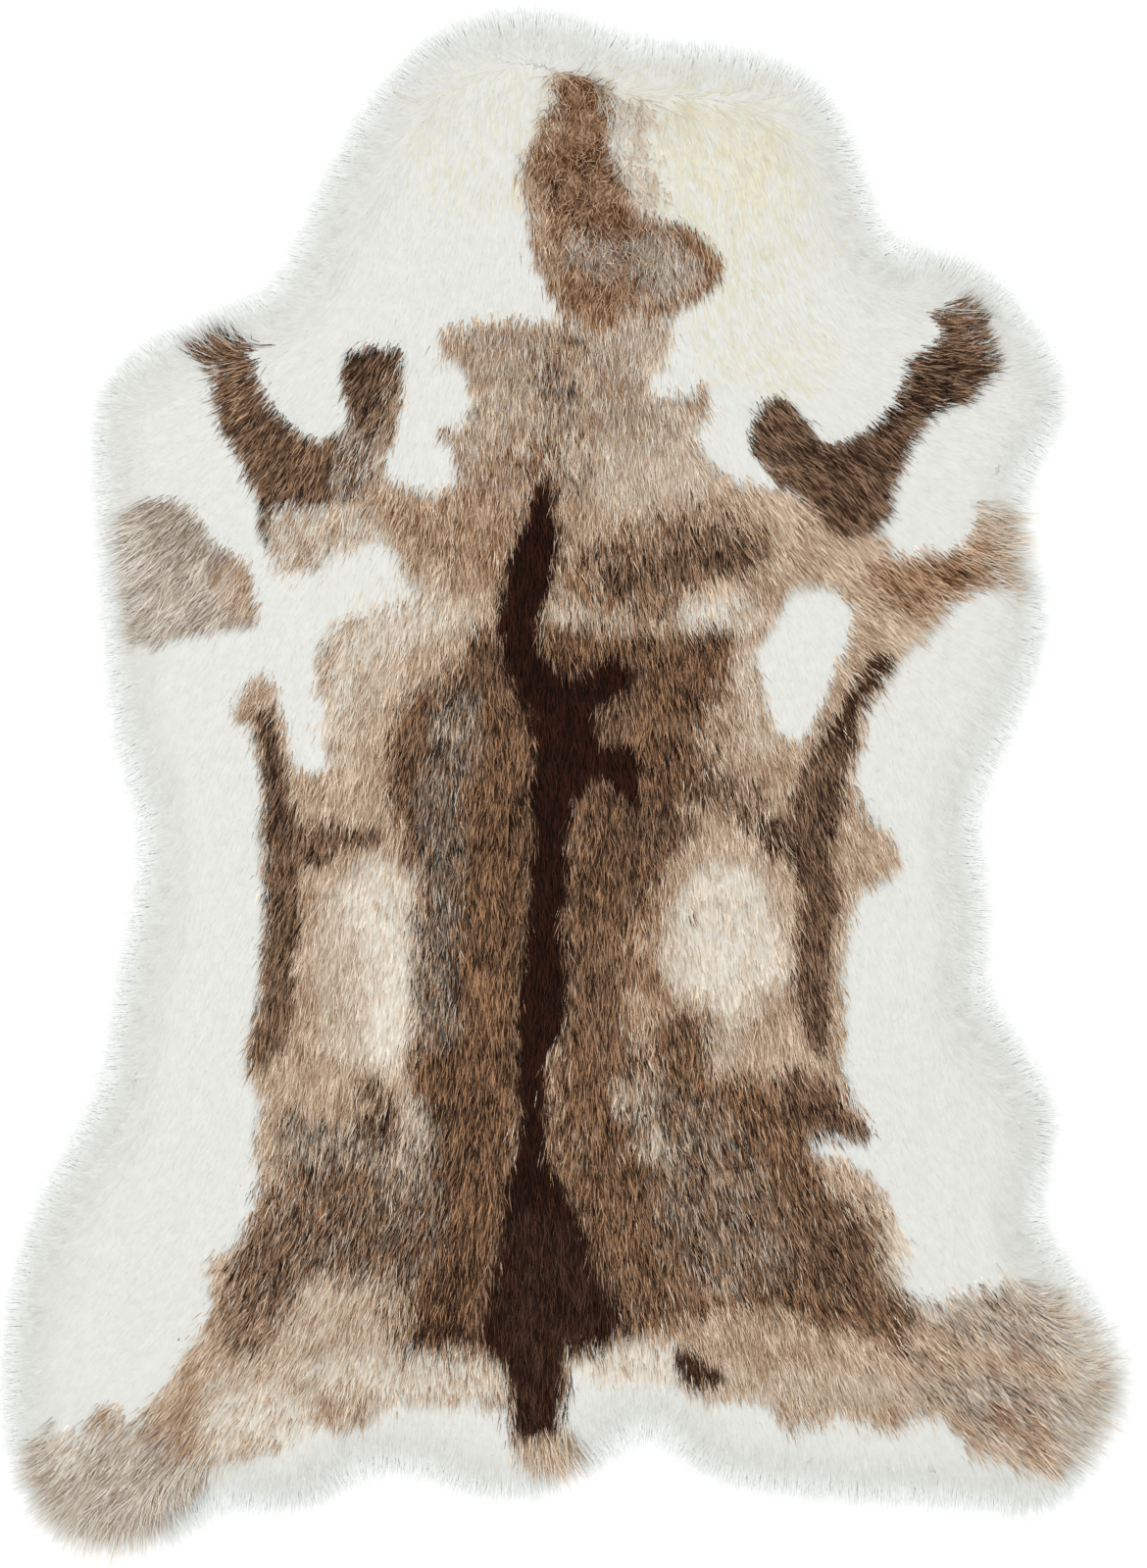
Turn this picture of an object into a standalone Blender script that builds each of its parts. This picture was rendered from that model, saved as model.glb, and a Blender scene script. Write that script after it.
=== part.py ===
# Fur rug: a whole hide laid flat on the floor with its pile up.
#
# Frame: metres, +Z up, neck towards +Y, hind legs towards -Y. The origin is under the
# middle of the rug, on the plane that its flat underside rests on.
#
# The pelt is one piece: a lumpy slab of dense pile on its skin, and round its rim the
# long hair parts into pointed locks that lean out and settle on the floor.

import random

import bpy
import bmesh
from mathutils import Vector, noise
from mathutils.geometry import delaunay_2d_cdt

MM = 0.001

# How far the hair reaches, seen from above, clockwise from the neck.
# landmark, across in mm (+ right of the spine), along in mm (+ towards the neck)
HAIR_OUTLINE = (
    ("neck, left corner", -93, 562),
    ("neck, crown", -42, 576),
    ("neck, top", 17, 568),
    ("neck, top dip", 53, 554),
    ("neck, top right", 119, 548),
    ("neck, right corner", 163, 537),
    ("neck, right shoulder", 197, 514),
    ("neck, right side", 217, 472),
    ("neck, right foot", 234, 418),
    ("right armpit of the neck", 249, 398),
    ("right foreleg, top", 279, 397),
    ("right foreleg, slope", 316, 380),
    ("right foreleg, outer", 349, 340),
    ("right foreleg, toe", 370, 307),
    ("right foreleg, toe end", 374, 278),
    ("right foreleg, under", 357, 247),
    ("right side, first hollow", 345, 216),
    ("right side, below it", 348, 172),
    ("right chest, widest", 359, 140),
    ("right chest, lower", 355, 96),
    ("right flank, going in", 334, 40),
    ("right flank, above waist", 313, -6),
    ("right waist", 308, -39),
    ("right waist, small swell", 317, -105),
    ("right waist, second hollow", 312, -152),
    ("right thigh, going out", 338, -192),
    ("right thigh, upper", 364, -239),
    ("right thigh, widest", 365, -280),
    ("right thigh, hollow", 354, -320),
    ("right hind leg, start", 370, -352),
    ("right hind leg, outer", 403, -400),
    ("right hind leg, toe", 423, -449),
    ("right hind leg, toe under", 407, -487),
    ("right hind leg, heel side", 381, -531),
    ("right hind leg, heel", 349, -549),
    ("right hem, start", 323, -546),
    ("right hem, middle", 272, -540),
    ("right hem, inner", 199, -535),
    ("right hem, rise", 133, -527),
    ("tail notch, right", 93, -513),
    ("tail notch, edge", 79, -495),
    ("tail notch", 50, -489),
    ("tail, right", 28, -509),
    ("tail, end", -5, -530),
    ("tail, low", -42, -536),
    ("tail, left", -82, -529),
    ("left hem, rise", -111, -517),
    ("left hem, hollow", -151, -518),
    ("left hem, fall", -187, -542),
    ("left hem, low", -224, -546),
    ("left hind leg, notch", -260, -542),
    ("left hind leg, heel", -293, -570),
    ("left hind leg, sole", -337, -578),
    ("left hind leg, toe under", -382, -569),
    ("left hind leg, toe", -412, -526),
    ("left hind leg, toe end", -421, -469),
    ("left hind leg, outer", -419, -403),
    ("left thigh, lower", -406, -341),
    ("left thigh", -377, -280),
    ("left thigh, upper", -349, -228),
    ("left flank, low", -339, -163),
    ("left flank", -326, -101),
    ("left waist", -319, -46),
    ("left waist, above", -326, -6),
    ("left chest, lower", -339, 38),
    ("left chest", -345, 114),
    ("left chest, upper", -351, 194),
    ("left foreleg, outer", -354, 267),
    ("left foreleg, corner", -345, 302),
    ("left foreleg, top", -311, 329),
    ("left shoulder, out", -264, 352),
    ("left armpit of the neck", -230, 362),
    ("neck, left foot", -208, 390),
    ("neck, left side", -184, 446),
    ("neck, left slope", -151, 504),
    ("neck, left shoulder", -118, 544),
)

# The slab's edge, from the floor up.
# ring, set in from the hair's reach in mm, height in mm
RIM_PROFILE = (
    ("base", 24, 0),
    ("wall foot", 20, 3),
    ("wall head", 19, 15),
    ("shoulder", 28, 22),
)

# Unevenness of the pile's top.
# tufts, distance from one to the next in mm, rise or dip in mm
PILE_LUMPS = (
    ("swells", 170, 3.6),
    ("tufts", 75, 3.0),
    ("small tufts", 44, 1.8),
)

# The pile: its height, and how far apart the points of its lumpy top are.
PILE_HEIGHT = 26 * MM
PILE_STEP = 24 * MM
PILE_EDGE_CLEARANCE = 13 * MM

# The locks at the rim: each starts as a share of its stretch of wall, is narrower in the
# middle, where it settles on the floor, and ends in a point.
LOCK_COUNT = 240
LOCK_ROOT_SHARE = 0.80
LOCK_MIDDLE_SHARE = 0.50
LOCK_MIDDLE_HEIGHT = 9 * MM
LOCK_MIDDLE_AT = 0.55
LOCK_TIP_HEIGHT = 1.5 * MM
LOCK_TIP_BEYOND = (-4 * MM, 8 * MM)
LOCK_TIP_SIDEWAYS = 6 * MM
LOCK_SEED = 11

# Finish of the curves and of the triangles that fill them.
CURVE_STEPS = 16
NORMAL_SPREAD = 2
LUMP_LAYER_SHIFT = 7.3
FILL_INSIDE = 1
FILL_MERGE = 1e-6

HAIR_COLOUR = (0.52, 0.46, 0.37, 1.0)
HAIR_ROUGHNESS = 0.85


def clear_scene():
    """Empty the scene that the rug is modelled in."""
    for thing in list(bpy.data.objects):
        bpy.data.objects.remove(thing, do_unlink=True)


def curve_point(before, start, end, after, part):
    """Point on the smooth curve from start to end, part of the way along."""
    square = part * part
    cube = square * part
    return 0.5 * (
        2 * start
        + (end - before) * part
        + (2 * before - 5 * start + 4 * end - after) * square
        + (3 * start - before - 3 * end + after) * cube
    )


def smooth_outline(landmarks, count):
    """Closed curve through the landmarks, read at count equal steps."""
    marks = [Vector((across, along)) * MM for _, across, along in landmarks]
    total = len(marks)
    fine = []
    for index in range(total):
        before, start = marks[index - 1], marks[index]
        end, after = marks[(index + 1) % total], marks[(index + 2) % total]
        for step in range(CURVE_STEPS):
            fine.append(curve_point(before, start, end, after, step / CURVE_STEPS))

    lengths = [(fine[(index + 1) % len(fine)] - fine[index]).length for index in range(len(fine))]
    spacing = sum(lengths) / count
    points = []
    walked = 0.0
    for index, length in enumerate(lengths):
        while len(points) < count and len(points) * spacing < walked + length:
            part = (len(points) * spacing - walked) / length
            points.append(fine[index].lerp(fine[(index + 1) % len(fine)], part))
        walked += length
    return points


def outward_directions(points):
    """Unit vectors that point away from the rug, one for each outline point."""
    count = len(points)
    directions = []
    for index in range(count):
        along = points[(index + NORMAL_SPREAD) % count] - points[index - NORMAL_SPREAD]
        directions.append(Vector((-along.y, along.x)).normalized())
    return directions


def pile_lump(point):
    """Rise or dip of the pile's top at a point."""
    rise = 0.0
    for layer, (_, distance, height) in enumerate(PILE_LUMPS):
        place = Vector((point.x, point.y, 0)) / (distance * MM)
        place.z = layer * LUMP_LAYER_SHIFT
        rise += noise.noise(place) * height * MM
    return rise


def add_ring(mesh, points, directions, inset, height):
    """Add the outline's vertices set in by inset, at one height."""
    ring = []
    for point, outward in zip(points, directions):
        place = point - outward * inset * MM
        ring.append(mesh.verts.new((place.x, place.y, height * MM)))
    return ring


def fill_ring(mesh, ring, inner_points=(), inner_height=None):
    """Cover a closed ring with triangles that also meet the inner points."""
    flat = [vertex.co.to_2d() for vertex in ring] + list(inner_points)
    loop = list(range(len(ring)))
    places, _, triangles, origins, _, _ = delaunay_2d_cdt(
        flat, [], [loop], FILL_INSIDE, FILL_MERGE
    )
    vertices = {}
    for triangle in triangles:
        for corner in triangle:
            if corner in vertices:
                continue
            source = origins[corner][0]
            if source < len(ring):
                vertices[corner] = ring[source]
            else:
                place = places[corner]
                vertices[corner] = mesh.verts.new((place.x, place.y, inner_height(place)))
        mesh.faces.new([vertices[corner] for corner in triangle])


def is_inside(point, loop, clearance):
    """True where a point is inside a closed loop and clear of its edge."""
    inside = False
    for index, end in enumerate(loop):
        start = loop[index - 1]
        if (point - start).length < clearance:
            return False
        if (start.y > point.y) != (end.y > point.y):
            crossing = start.x + (point.y - start.y) * (end.x - start.x) / (end.y - start.y)
            if point.x < crossing:
                inside = not inside
    return inside


def pile_grid(loop):
    """Staggered points over the pile, one for each tuft of its top."""
    low_x, high_x = min(p.x for p in loop), max(p.x for p in loop)
    low_y, high_y = min(p.y for p in loop), max(p.y for p in loop)
    rows = int((high_y - low_y) / PILE_STEP) + 1
    columns = int((high_x - low_x) / PILE_STEP) + 1
    points = []
    for row in range(rows):
        shift = (row % 2) / 2
        for column in range(columns):
            point = Vector((low_x + (column + shift) * PILE_STEP, low_y + row * PILE_STEP))
            if is_inside(point, loop, PILE_EDGE_CLEARANCE):
                points.append(point)
    return points


def join_rings(mesh, lower, upper):
    """Close the band between two rings with quads."""
    count = len(lower)
    for index in range(count):
        following = (index + 1) % count
        mesh.faces.new((lower[index], lower[following], upper[following], upper[index]))


def section(mesh, centre, side, width, low, high):
    """Four corners of an upright section across a lock."""
    corners = []
    for sign, height in ((-1, low), (1, low), (1, high), (-1, high)):
        place = centre + side * sign * width / 2
        corners.append(mesh.verts.new((place.x, place.y, height)))
    return corners


def add_lock(mesh, wall, outward, reach, sideways):
    """Grow one pointed lock out of a wall quad, down to the floor."""
    foot, next_foot = wall[0].co, wall[1].co
    span = (next_foot - foot).to_2d()
    side = span.normalized()
    middle_of_wall = sum((vertex.co for vertex in wall), Vector()) / 4

    root = []
    for vertex in wall:
        root.append(mesh.verts.new(middle_of_wall.lerp(vertex.co, LOCK_ROOT_SHARE)))
    start = middle_of_wall.to_2d()
    lean = outward * reach + side * sideways
    middle = section(
        mesh,
        start + lean * LOCK_MIDDLE_AT,
        side,
        span.length * LOCK_MIDDLE_SHARE,
        0.0,
        LOCK_MIDDLE_HEIGHT,
    )
    end = start + lean
    tip = mesh.verts.new((end.x, end.y, LOCK_TIP_HEIGHT))

    for inner, outer in ((wall, root), (root, middle)):
        for index in range(4):
            following = (index + 1) % 4
            mesh.faces.new((inner[index], inner[following], outer[following], outer[index]))
    for index in range(4):
        mesh.faces.new((middle[index], middle[(index + 1) % 4], tip))


def add_locks(mesh, lower, upper, outline):
    """Grow a lock from each quad of the wall, each with a reach of its own."""
    chance = random.Random(LOCK_SEED)
    count = len(lower)
    for index in range(count):
        following = (index + 1) % count
        wall = (lower[index], lower[following], upper[following], upper[index])
        root = sum((vertex.co for vertex in wall), Vector()) / 4
        target = (outline[index] + outline[following]) / 2
        outward = (target - root.to_2d()).normalized()
        reach = (target - root.to_2d()).length + chance.uniform(*LOCK_TIP_BEYOND)
        sideways = chance.uniform(-LOCK_TIP_SIDEWAYS, LOCK_TIP_SIDEWAYS)
        add_lock(mesh, wall, outward, reach, sideways)


def centre_on_origin(mesh):
    """Move the pelt so that the origin is under the middle of its box."""
    middle = Vector((0, 0, 0))
    for axis in (0, 1):
        low = min(vertex.co[axis] for vertex in mesh.verts)
        high = max(vertex.co[axis] for vertex in mesh.verts)
        middle[axis] = (low + high) / 2
    for vertex in mesh.verts:
        vertex.co -= middle


def hair_material():
    """Matt mixed white and brown hair."""
    material = bpy.data.materials.new("hair")
    material.use_nodes = True
    shader = material.node_tree.nodes["Principled BSDF"]
    shader.inputs["Base Color"].default_value = HAIR_COLOUR
    shader.inputs["Roughness"].default_value = HAIR_ROUGHNESS
    shader.inputs["Metallic"].default_value = 0.0
    return material


def add_pelt():
    """The whole rug: flat base, wall with its locks, and lumpy pile."""
    outline = smooth_outline(HAIR_OUTLINE, LOCK_COUNT)
    directions = outward_directions(outline)
    mesh = bmesh.new()
    rings = {}
    for name, inset, height in RIM_PROFILE:
        rings[name] = add_ring(mesh, outline, directions, inset, height)

    for vertex in rings["shoulder"]:
        vertex.co.z += pile_lump(vertex.co) / 2

    fill_ring(mesh, rings["base"])
    join_rings(mesh, rings["base"], rings["wall foot"])
    add_locks(mesh, rings["wall foot"], rings["wall head"], outline)
    join_rings(mesh, rings["wall head"], rings["shoulder"])
    shoulder_loop = [vertex.co.to_2d() for vertex in rings["shoulder"]]
    fill_ring(
        mesh,
        rings["shoulder"],
        pile_grid(shoulder_loop),
        lambda place: PILE_HEIGHT + pile_lump(place),
    )

    centre_on_origin(mesh)
    bmesh.ops.recalc_face_normals(mesh, faces=mesh.faces)
    data = bpy.data.meshes.new("pelt")
    mesh.to_mesh(data)
    mesh.free()
    data.materials.append(hair_material())
    data.shade_smooth()
    pelt = bpy.data.objects.new("pelt", data)
    bpy.context.scene.collection.objects.link(pelt)
    return pelt


clear_scene()
add_pelt()
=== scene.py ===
# Fur rug: the looks of a whole hide laid flat on the floor with its pile up.
#
# Frame: metres, +Z up, neck towards +Y, hind legs towards -Y, origin on the floor under
# the middle of the rug. Places in the tables are in millimetres in the same frame.
#
# The rug is a thin skin, a lumpy undercoat on it, four layers of coat hair and a ring of
# longer hair round its rim. Every hair is a narrow ribbon of two or three straight parts
# that lean over further towards its tip.

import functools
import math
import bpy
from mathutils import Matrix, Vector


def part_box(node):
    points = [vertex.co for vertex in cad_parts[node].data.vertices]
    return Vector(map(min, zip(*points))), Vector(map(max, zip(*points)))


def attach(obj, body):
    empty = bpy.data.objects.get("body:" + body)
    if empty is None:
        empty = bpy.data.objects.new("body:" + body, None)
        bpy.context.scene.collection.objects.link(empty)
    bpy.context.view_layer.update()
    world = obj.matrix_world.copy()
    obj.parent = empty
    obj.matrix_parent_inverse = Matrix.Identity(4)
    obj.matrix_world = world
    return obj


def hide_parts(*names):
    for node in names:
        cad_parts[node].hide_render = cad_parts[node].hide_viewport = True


bl_info = {
    "name": "Fur Rug",
    "version": (1, 0, 0),
    "blender": (4, 5, 0),
    "location": "3D Viewport > Sidebar > Fur Rug",
    "description": "Dresses a hide-shaped fur rug in skin, undercoat, coat hair and rim hair",
    "category": "Object",
}

import bpy
import numpy as np
from bpy.props import FloatProperty, FloatVectorProperty, IntProperty, PointerProperty
from mathutils import Vector
from mathutils.bvhtree import BVHTree
from mathutils.geometry import delaunay_2d_cdt

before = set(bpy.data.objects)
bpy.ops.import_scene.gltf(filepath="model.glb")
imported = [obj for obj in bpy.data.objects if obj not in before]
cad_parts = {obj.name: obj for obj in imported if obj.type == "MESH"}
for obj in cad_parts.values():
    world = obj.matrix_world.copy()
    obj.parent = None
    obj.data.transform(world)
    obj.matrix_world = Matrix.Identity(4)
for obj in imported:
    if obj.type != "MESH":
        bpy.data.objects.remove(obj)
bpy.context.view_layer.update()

MM = 0.001
BODY = "root"
PELT = "pelt"

# Hair colours, as they look on a screen, from 0 to 255.
# tone, darkest hair, lightest hair, spread from hair to hair, spread from tuft to tuft
TONES = (
    ("white", (205, 206, 200), (212, 213, 208), 0.7, 0.3),
    ("ivory", (196, 188, 174), (222, 217, 206), 0.9, 0.4),
    ("cream", (202, 198, 176), (214, 212, 200), 0.6, 0.6),
    ("straw", (202, 193, 164), (217, 213, 192), 0.7, 0.6),
    ("pale", (174, 152, 127), (231, 221, 206), 1.0, 0.4),
    ("dun", (138, 120, 104), (238, 230, 217), 1.0, 0.4),
    ("tan", (146, 113, 84), (239, 221, 198), 1.0, 0.5),
    ("russet", (100, 64, 38), (216, 180, 146), 1.2, 0.4),
    ("brown", (26, 14, 8), (188, 144, 107), 1.3, 0.4),
    ("smoke", (32, 23, 17), (216, 198, 178), 1.2, 0.5),
    ("umber", (26, 15, 9), (180, 144, 114), 1.2, 0.4),
    ("bark", (20, 9, 5), (108, 74, 50), 0.9, 0.4),
    ("spine", (14, 4, 0), (66, 33, 18), 1.1, 0.3),
    ("spine end", (24, 12, 6), (98, 68, 52), 1.0, 0.3),
)

# Outline of the dark stripe down the spine, as across and along in mm.
SPINE = (
    (-17, 226), (-11, 212), (-9, 198), (-12, 175), (-15, 150), (-20, 130), (-24, 108),
    (-18, 92), (-6, 83), (8, 80), (20, 89), (38, 93), (49, 84), (46, 70), (30, 62), (22, 50),
    (20, 36), (28, 28), (42, 30), (50, 16), (51, -6), (49, -17), (42, -8), (32, 1), (21, 7),
    (12, -3), (4, -14), (0, -50), (-1, -75), (-5, -101), (-6, -130), (-5, -152), (-6, -170),
    (-12, -189), (-18, -205), (-19, -225), (-17, -254), (-16, -283), (-3, -300), (8, -320),
    (16, -349), (25, -371), (34, -393), (30, -408), (10, -414), (-6, -426), (-7, -450),
    (-9, -469), (-14, -478), (-24, -480), (-33, -477), (-36, -462), (-38, -440), (-50, -422),
    (-64, -414), (-62, -396), (-55, -371), (-51, -340), (-46, -300), (-37, -276), (-34, -254),
    (-35, -218), (-37, -181), (-32, -145), (-28, -108), (-26, -72), (-26, -36), (-24, 0),
    (-22, 25), (-30, 55), (-42, 80), (-48, 100), (-48, 130), (-40, 150), (-38, 175), (-28, 198),
    (-24, 212),
)

# Where each tone lies, each row over the rows above it.
# marking, tone, share of the hair that takes it, softness of its edge in mm,
# outline as across and along in mm
MARKINGS = (
    ("neck, creamy side", "cream", 0.6, 28, (
        (40, 520), (90, 524), (140, 510), (176, 480), (190, 440), (190, 400), (160, 370),
        (120, 345), (90, 345), (60, 420))),
    ("neck, creamy left", "cream", 0.4, 24, (
        (-120, 500), (-66, 530), (-16, 524), (-30, 470), (-60, 430), (-110, 440))),
    ("chest, creamy right", "cream", 0.45, 20, (
        (100, 330), (160, 350), (196, 330), (176, 280), (136, 290), (110, 300))),
    ("neck, yellow tufts", "straw", 0.45, 18, (
        (70, 492), (100, 506), (136, 500), (156, 474), (150, 440), (124, 430), (96, 446))),
    ("body", "tan", 1.0, 8, (
        (-89, 337), (-50, 345), (-8, 345), (40, 350), (74, 349), (75, 336), (69, 319), (59, 302),
        (62, 289), (69, 283), (79, 289), (91, 291), (100, 298), (103, 287), (99, 270), (92, 258),
        (101, 247), (112, 236), (127, 226), (145, 222), (170, 215), (200, 205), (234, 188),
        (243, 168), (262, 175), (278, 173), (290, 178), (298, 186), (306, 193), (320, 196),
        (336, 194), (341, 178), (337, 157), (334, 147), (307, 147), (285, 132), (267, 110),
        (249, 96), (238, 77), (223, 56), (220, 34), (212, 12), (214, -6), (224, -22), (238, -37),
        (243, -54), (238, -68), (220, -77), (211, -94), (207, -118), (204, -145), (207, -167),
        (204, -196), (208, -219), (216, -240), (221, -262), (207, -260), (193, -253), (184, -262),
        (190, -276), (212, -281), (231, -297), (241, -316), (240, -340), (243, -366), (258, -380),
        (278, -388), (298, -379), (322, -373), (346, -376), (364, -392), (384, -418), (404, -446),
        (396, -470), (380, -494), (366, -512), (345, -508), (325, -500), (300, -497), (289, -482),
        (274, -468), (256, -468), (238, -477), (217, -468), (200, -466), (176, -478), (160, -474),
        (148, -459), (120, -455), (98, -456), (84, -444), (60, -440), (30, -438), (8, -432),
        (-2, -440), (-8, -484), (6, -494), (14, -508), (4, -518), (-16, -520), (-32, -504),
        (-40, -484), (-44, -462), (-60, -460), (-76, -455), (-98, -458), (-125, -455), (-140, -461),
        (-147, -473), (-166, -477), (-190, -473), (-206, -479), (-212, -491), (-232, -498),
        (-258, -503), (-271, -502), (-277, -530), (-290, -547), (-312, -562), (-342, -568),
        (-370, -556), (-390, -536), (-402, -512), (-400, -496), (-376, -488), (-360, -478),
        (-349, -464), (-336, -461), (-325, -474), (-314, -467), (-304, -453), (-292, -440),
        (-284, -424), (-272, -408), (-262, -392), (-263, -370), (-262, -350), (-248, -343),
        (-238, -328), (-228, -308), (-226, -288), (-232, -268), (-230, -246), (-228, -232),
        (-236, -214), (-237, -196), (-231, -170), (-227, -140), (-224, -110), (-224, -75),
        (-227, -48), (-228, -28), (-224, -6), (-228, 20), (-234, 44), (-243, 50), (-241, 72),
        (-232, 82), (-219, 78), (-213, 55), (-207, 32), (-196, 13), (-178, 10), (-177, 34),
        (-176, 56), (-183, 76), (-184, 99), (-173, 118), (-151, 129), (-126, 136), (-112, 142),
        (-120, 158), (-128, 178), (-142, 182), (-158, 180), (-174, 170), (-186, 161), (-201, 160),
        (-213, 165), (-223, 184), (-224, 198), (-196, 209), (-166, 221), (-156, 240), (-150, 262),
        (-140, 286), (-128, 306), (-124, 290), (-129, 266), (-138, 246), (-137, 232), (-116, 222),
        (-100, 217), (-80, 223), (-77, 232), (-83, 246), (-79, 262), (-69, 278), (-70, 296),
        (-78, 312), (-90, 322))),
    ("neck, mixed side", "pale", 0.6, 12, (
        (30, 508), (54, 504), (64, 488), (62, 460), (70, 440), (60, 424), (40, 430), (26, 460))),
    ("neck patch", "russet", 1.0, 6, (
        (-10, 520), (6, 526), (26, 524), (36, 512), (34, 492), (30, 474), (34, 460), (42, 448),
        (46, 434), (56, 424), (72, 420), (88, 417), (100, 408), (110, 398), (114, 388), (111, 374),
        (98, 363), (80, 352), (60, 346), (34, 342), (8, 344), (-8, 360), (-18, 385), (-26, 412),
        (-28, 438), (-33, 456), (-25, 474), (-16, 492), (-11, 506))),
    ("neck core", "umber", 0.22, 14, (
        (-10, 474), (14, 484), (30, 456), (46, 426), (40, 402), (16, 396), (-6, 406),
        (-18, 432))),
    ("neck lobe", "dun", 0.8, 9, (
        (48, 408), (70, 413), (92, 400), (102, 388), (96, 374), (76, 362), (52, 366), (44, 386))),
    ("neck, light edge", "tan", 0.5, 9, (
        (-8, 514), (-18, 488), (-36, 456), (-32, 420), (-22, 385), (-6, 366), (-2, 380),
        (-14, 430), (-16, 462), (-8, 490))),
    ("neck, grey curls", "dun", 0.65, 10, (
        (4, 410), (36, 404), (46, 386), (30, 372), (8, 380))),
    ("chest", "dun", 0.45, 12, (
        (-85, 338), (-8, 342), (60, 345), (72, 330), (60, 300), (80, 292), (98, 296), (98, 268),
        (88, 254), (96, 240), (80, 205), (40, 200), (0, 215), (-40, 205), (-76, 232), (-78, 262),
        (-66, 285), (-74, 312))),
    ("chest light streak", "pale", 0.6, 8, (
        (42, 352), (66, 346), (76, 330), (66, 304), (46, 300), (38, 320))),
    ("chest light patch", "pale", 0.75, 8, (
        (24, 252), (60, 254), (92, 246), (110, 226), (96, 209), (70, 214), (40, 203), (26, 222))),
    ("chest centre", "brown", 0.3, 12, (
        (-20, 332), (10, 330), (14, 296), (4, 270), (20, 250), (16, 205), (-20, 215), (-34, 240),
        (-22, 275), (-26, 300))),
    ("chest, dark cluster", "umber", 0.4, 10, (
        (-22, 312), (-6, 318), (8, 308), (4, 290), (-12, 286), (-24, 296))),
    ("chest, lower brown", "russet", 0.45, 12, (
        (-90, 224), (-40, 262), (-20, 240), (-24, 200), (-60, 196), (-100, 206))),
    ("reddish spot", "russet", 0.8, 3, (
        (-94, 265), (-88, 269), (-84, 265), (-84, 257), (-89, 254), (-94, 257))),
    ("left foreleg", "umber", 1.0, 4, (
        (-290, 335), (-284, 339), (-270, 342), (-262, 344), (-256, 340), (-250, 334), (-243, 326),
        (-233, 310), (-225, 292), (-214, 278), (-203, 267), (-188, 258), (-174, 260), (-163, 268),
        (-162, 278), (-165, 292), (-166, 307), (-163, 322), (-145, 326), (-122, 323), (-122, 303),
        (-128, 281), (-132, 260), (-139, 241), (-146, 226), (-156, 216), (-181, 211), (-210, 209),
        (-219, 204), (-221, 190), (-225, 181), (-229, 187), (-229, 205), (-234, 220), (-238, 234),
        (-247, 249), (-256, 271), (-262, 292), (-265, 308), (-278, 322))),
    ("left foreleg, light middle", "dun", 0.45, 8, (
        (-166, 268), (-148, 266), (-134, 262), (-140, 232), (-156, 217), (-178, 212),
        (-172, 236))),
    ("left foreleg, warm", "russet", 0.25, 12, (
        (-262, 330), (-240, 320), (-220, 270), (-190, 250), (-180, 220), (-216, 214),
        (-244, 256))),
    ("left foreleg, fringe", "tan", 0.6, 7, (
        (-124, 316), (-132, 306), (-140, 270), (-150, 238), (-160, 214), (-140, 218), (-132, 256),
        (-124, 290))),
    ("left foreleg, dark toe", "bark", 0.15, 8, (
        (-286, 340), (-262, 350), (-240, 336), (-228, 306), (-232, 290), (-258, 296), (-272, 318))),
    ("finger, dark tip", "bark", 0.35, 6, (
        (-164, 322), (-126, 324), (-128, 306), (-150, 300), (-164, 306))),
    ("band under the tongue, light end", "ivory", 0.5, 12, (
        (-222, 200), (-196, 206), (-160, 208), (-130, 200), (-140, 178), (-176, 166),
        (-200, 158), (-216, 168))),
    ("band under the tongue", "russet", 0.5, 10, (
        (-150, 214), (-110, 208), (-70, 200), (-44, 190), (-50, 150), (-90, 158), (-110, 180),
        (-140, 192))),
    ("left paw", "dun", 1.0, 7, (
        (-343, 186), (-326, 203), (-306, 211), (-290, 212), (-272, 201), (-264, 187), (-247, 172),
        (-235, 154), (-230, 128), (-234, 118), (-262, 114), (-290, 109), (-320, 107), (-329, 125),
        (-337, 150))),
    ("left paw edge", "tan", 0.7, 6, (
        (-262, 166), (-244, 170), (-236, 154), (-230, 126), (-240, 120), (-258, 140))),
    ("right foreleg", "umber", 1.0, 4, (
        (298, 366), (283, 357), (271, 350), (276, 337), (266, 321), (251, 316), (247, 296),
        (238, 280), (222, 267), (202, 257), (188, 256), (176, 272), (167, 284), (154, 289),
        (141, 281), (135, 262), (138, 246), (150, 232), (166, 218), (180, 205), (192, 190),
        (208, 182), (228, 187), (240, 204), (245, 226), (254, 250), (266, 270), (284, 279),
        (302, 286), (310, 300), (322, 311), (313, 333), (312, 350))),
    ("right foreleg, dark", "bark", 0.35, 8, (
        (262, 318), (300, 320), (306, 300), (262, 276), (244, 244), (222, 200), (196, 196),
        (178, 226), (174, 256), (190, 250), (212, 256), (236, 272), (252, 300))),
    ("right arm", "russet", 0.9, 12, (
        (236, 168), (262, 168), (292, 170), (318, 190), (330, 186), (322, 156), (300, 152),
        (270, 130), (246, 130), (222, 150))),
    ("right arm, shade", "brown", 0.35, 10, (
        (236, 162), (300, 168), (322, 186), (318, 160), (270, 134), (246, 134), (226, 150))),
    ("right arm, end", "pale", 0.6, 10, (
        (322, 200), (344, 198), (344, 150), (326, 150))),
    ("saddle, right", "brown", 0.6, 12, (
        (-14, 120), (-8, 160), (20, 186), (90, 204), (136, 196), (140, 175), (120, 158),
        (96, 150), (80, 128), (40, 116))),
    ("dark saddle, right", "umber", 0.85, 8, (
        (24, 162), (60, 166), (84, 186), (110, 192), (140, 186), (148, 172), (134, 160), (110, 157),
        (84, 148), (30, 142))),
    ("saddle light, right", "ivory", 0.65, 9, (
        (84, 124), (96, 140), (124, 144), (142, 136), (140, 116), (112, 112), (90, 112))),
    ("grey tuft by the spine", "pale", 0.6, 7, (
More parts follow.
